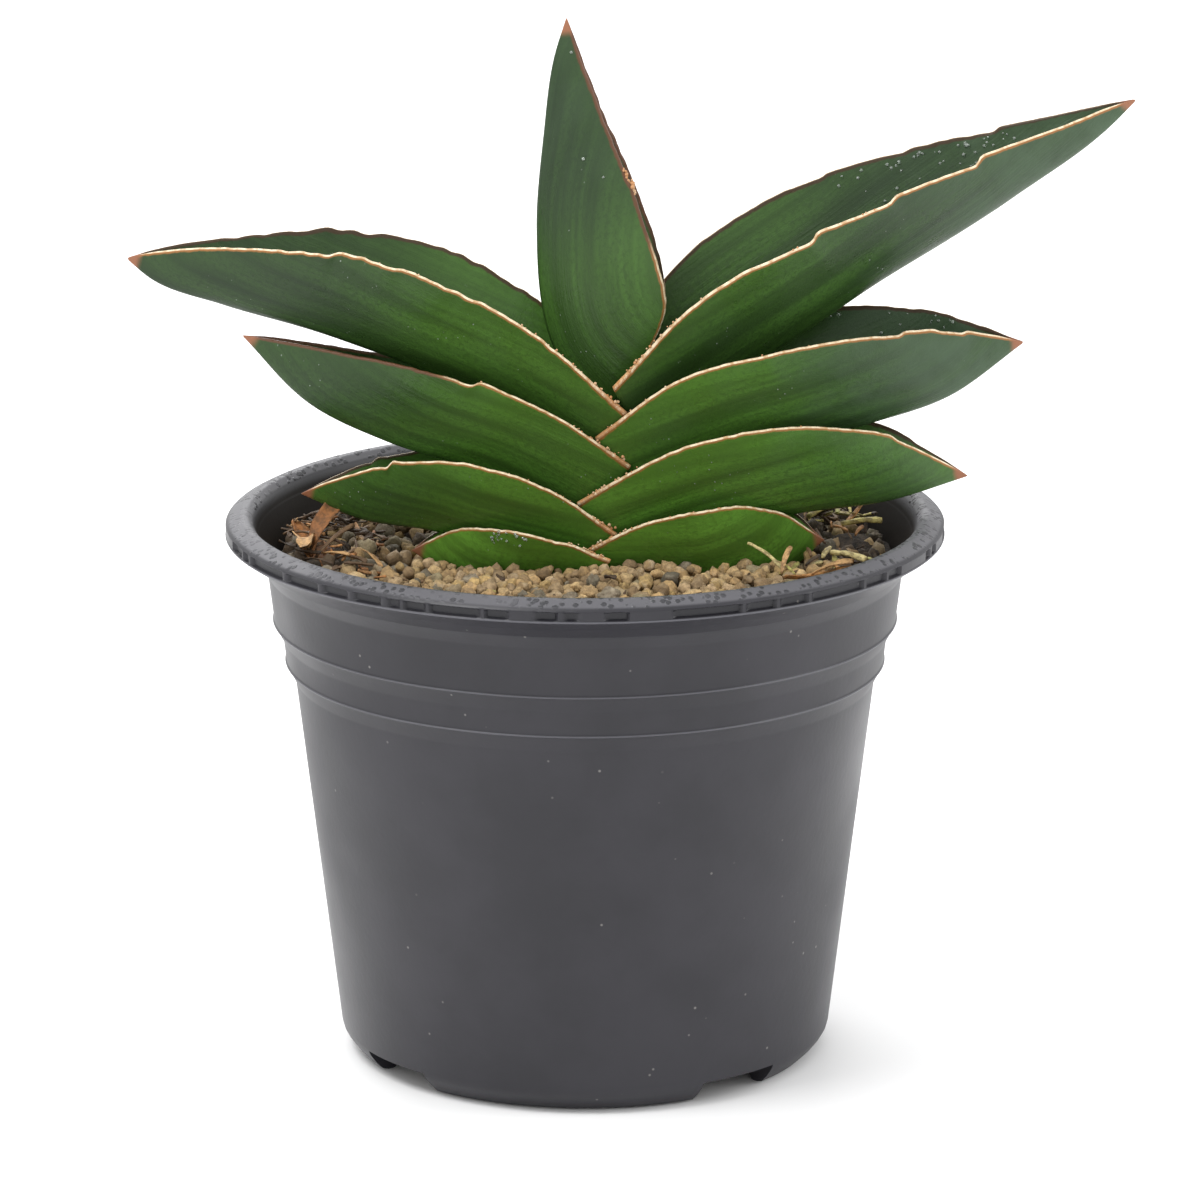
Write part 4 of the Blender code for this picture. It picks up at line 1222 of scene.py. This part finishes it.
# ---- Stage -----------------------------------------------------------------------------------------
FRAME_WIDTH = 0.2011  # width of the view at the pot's axis
CAMERA_DISTANCE = 1.2
CAMERA_ELEVATION = math.radians(15.0)
CAMERA_TARGET = Vector((0.0025, 0.0, 0.0770))
SENSOR = 36.0
LIGHT_TARGET = Vector((0.0, 0.0, 0.09))
WORLD_STRENGTH = 1.1
FLOOR_REACH = 30.0
FLOOR_TONE = (0.92, 0.92, 0.92)
# Name, place, size in metres and power of each light.
LIGHTS = (
    ("key_light", (-0.55, -0.35, 1.15), (0.5, 0.5), 8.0),
    ("side_light", (1.0, -0.1, 0.5), (0.4, 0.8), 3.5),
    ("back_light", (-0.2, 0.9, 0.8), (0.9, 0.4), 6.0),
)


def add_light(name, place, size, power):
    """A soft white light that faces the plant."""
    light = bpy.data.lights.new(name, "AREA")
    light.shape = "RECTANGLE"
    light.size, light.size_y = size
    light.energy = power
    made = bpy.data.objects.new(name, light)
    made.location = place
    aim = LIGHT_TARGET - Vector(place)
    made.rotation_euler = aim.to_track_quat("-Z", "Y").to_euler()
    bpy.context.scene.collection.objects.link(made)


def build_stage():
    """The camera, a white surround, a pale floor and three soft lights."""
    scene = bpy.context.scene
    scene.view_settings.view_transform = "Standard"
    camera = bpy.data.cameras.new("camera")
    camera.sensor_width = SENSOR
    camera.lens = SENSOR * CAMERA_DISTANCE / FRAME_WIDTH
    viewer = bpy.data.objects.new("camera", camera)
    scene.collection.objects.link(viewer)
    back = Vector((0.0, -math.cos(CAMERA_ELEVATION), math.sin(CAMERA_ELEVATION)))
    viewer.location = CAMERA_TARGET + back * CAMERA_DISTANCE
    viewer.rotation_euler = (-back).to_track_quat("-Z", "Y").to_euler()
    scene.camera = viewer
    world = bpy.data.worlds.new("studio")
    world.use_nodes = True
    sky = world.node_tree.nodes["Background"]
    sky.inputs["Color"].default_value = (1.0, 1.0, 1.0, 1.0)
    sky.inputs["Strength"].default_value = WORLD_STRENGTH
    scene.world = world
    shape = bmesh.new()
    bmesh.ops.create_grid(shape, x_segments=1, y_segments=1, size=FLOOR_REACH)
    floor = add_object("floor", mesh_from_bmesh("floor", shape))
    paper = Shader("pale_floor", FLOOR_TONE, 0.9)
    paper.surface.inputs["Specular IOR Level"].default_value = 0.2
    floor.data.materials.append(paper.material)
    for light in LIGHTS:
        add_light(*light)


# ---- Whole scene -----------------------------------------------------------------------------------
def root_material():
    """Pale tan root flesh."""
    shader = Shader("root_flesh", roughness=0.6)
    skin = shader.noise(shader.place((260.0, 260.0, 90.0)), 4.0)
    shader.colour(shader.mix(shader.band(skin, 0.3, 0.7), (0.42, 0.27, 0.12), (0.66, 0.52, 0.32)))
    shader.bump(skin, 0.6, 0.0005)
    return shader.material


def dress_hidden_nodes():
    """The fill and the rootstock keep their modelled shapes and get their own materials."""
    for name, material in (("soil", soil_material("potting_mix")), ("rootstock", root_material())):
        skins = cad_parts[name].data.materials
        skins.clear()
        skins.append(material)


build_stage()
dress_hidden_nodes()
build_pot()
leaf_pieces = build_leaves()
leaf_tree = solid_tree(leaf_pieces)
build_drops()
build_bed()
stone = gravel_material()
build_gravel(leaf_tree, stone)
build_pebbles(stone)
dry = dry_material()
build_named_bits(dry)
build_litter(dry, leaf_tree)

bpy.context.view_layer.update()
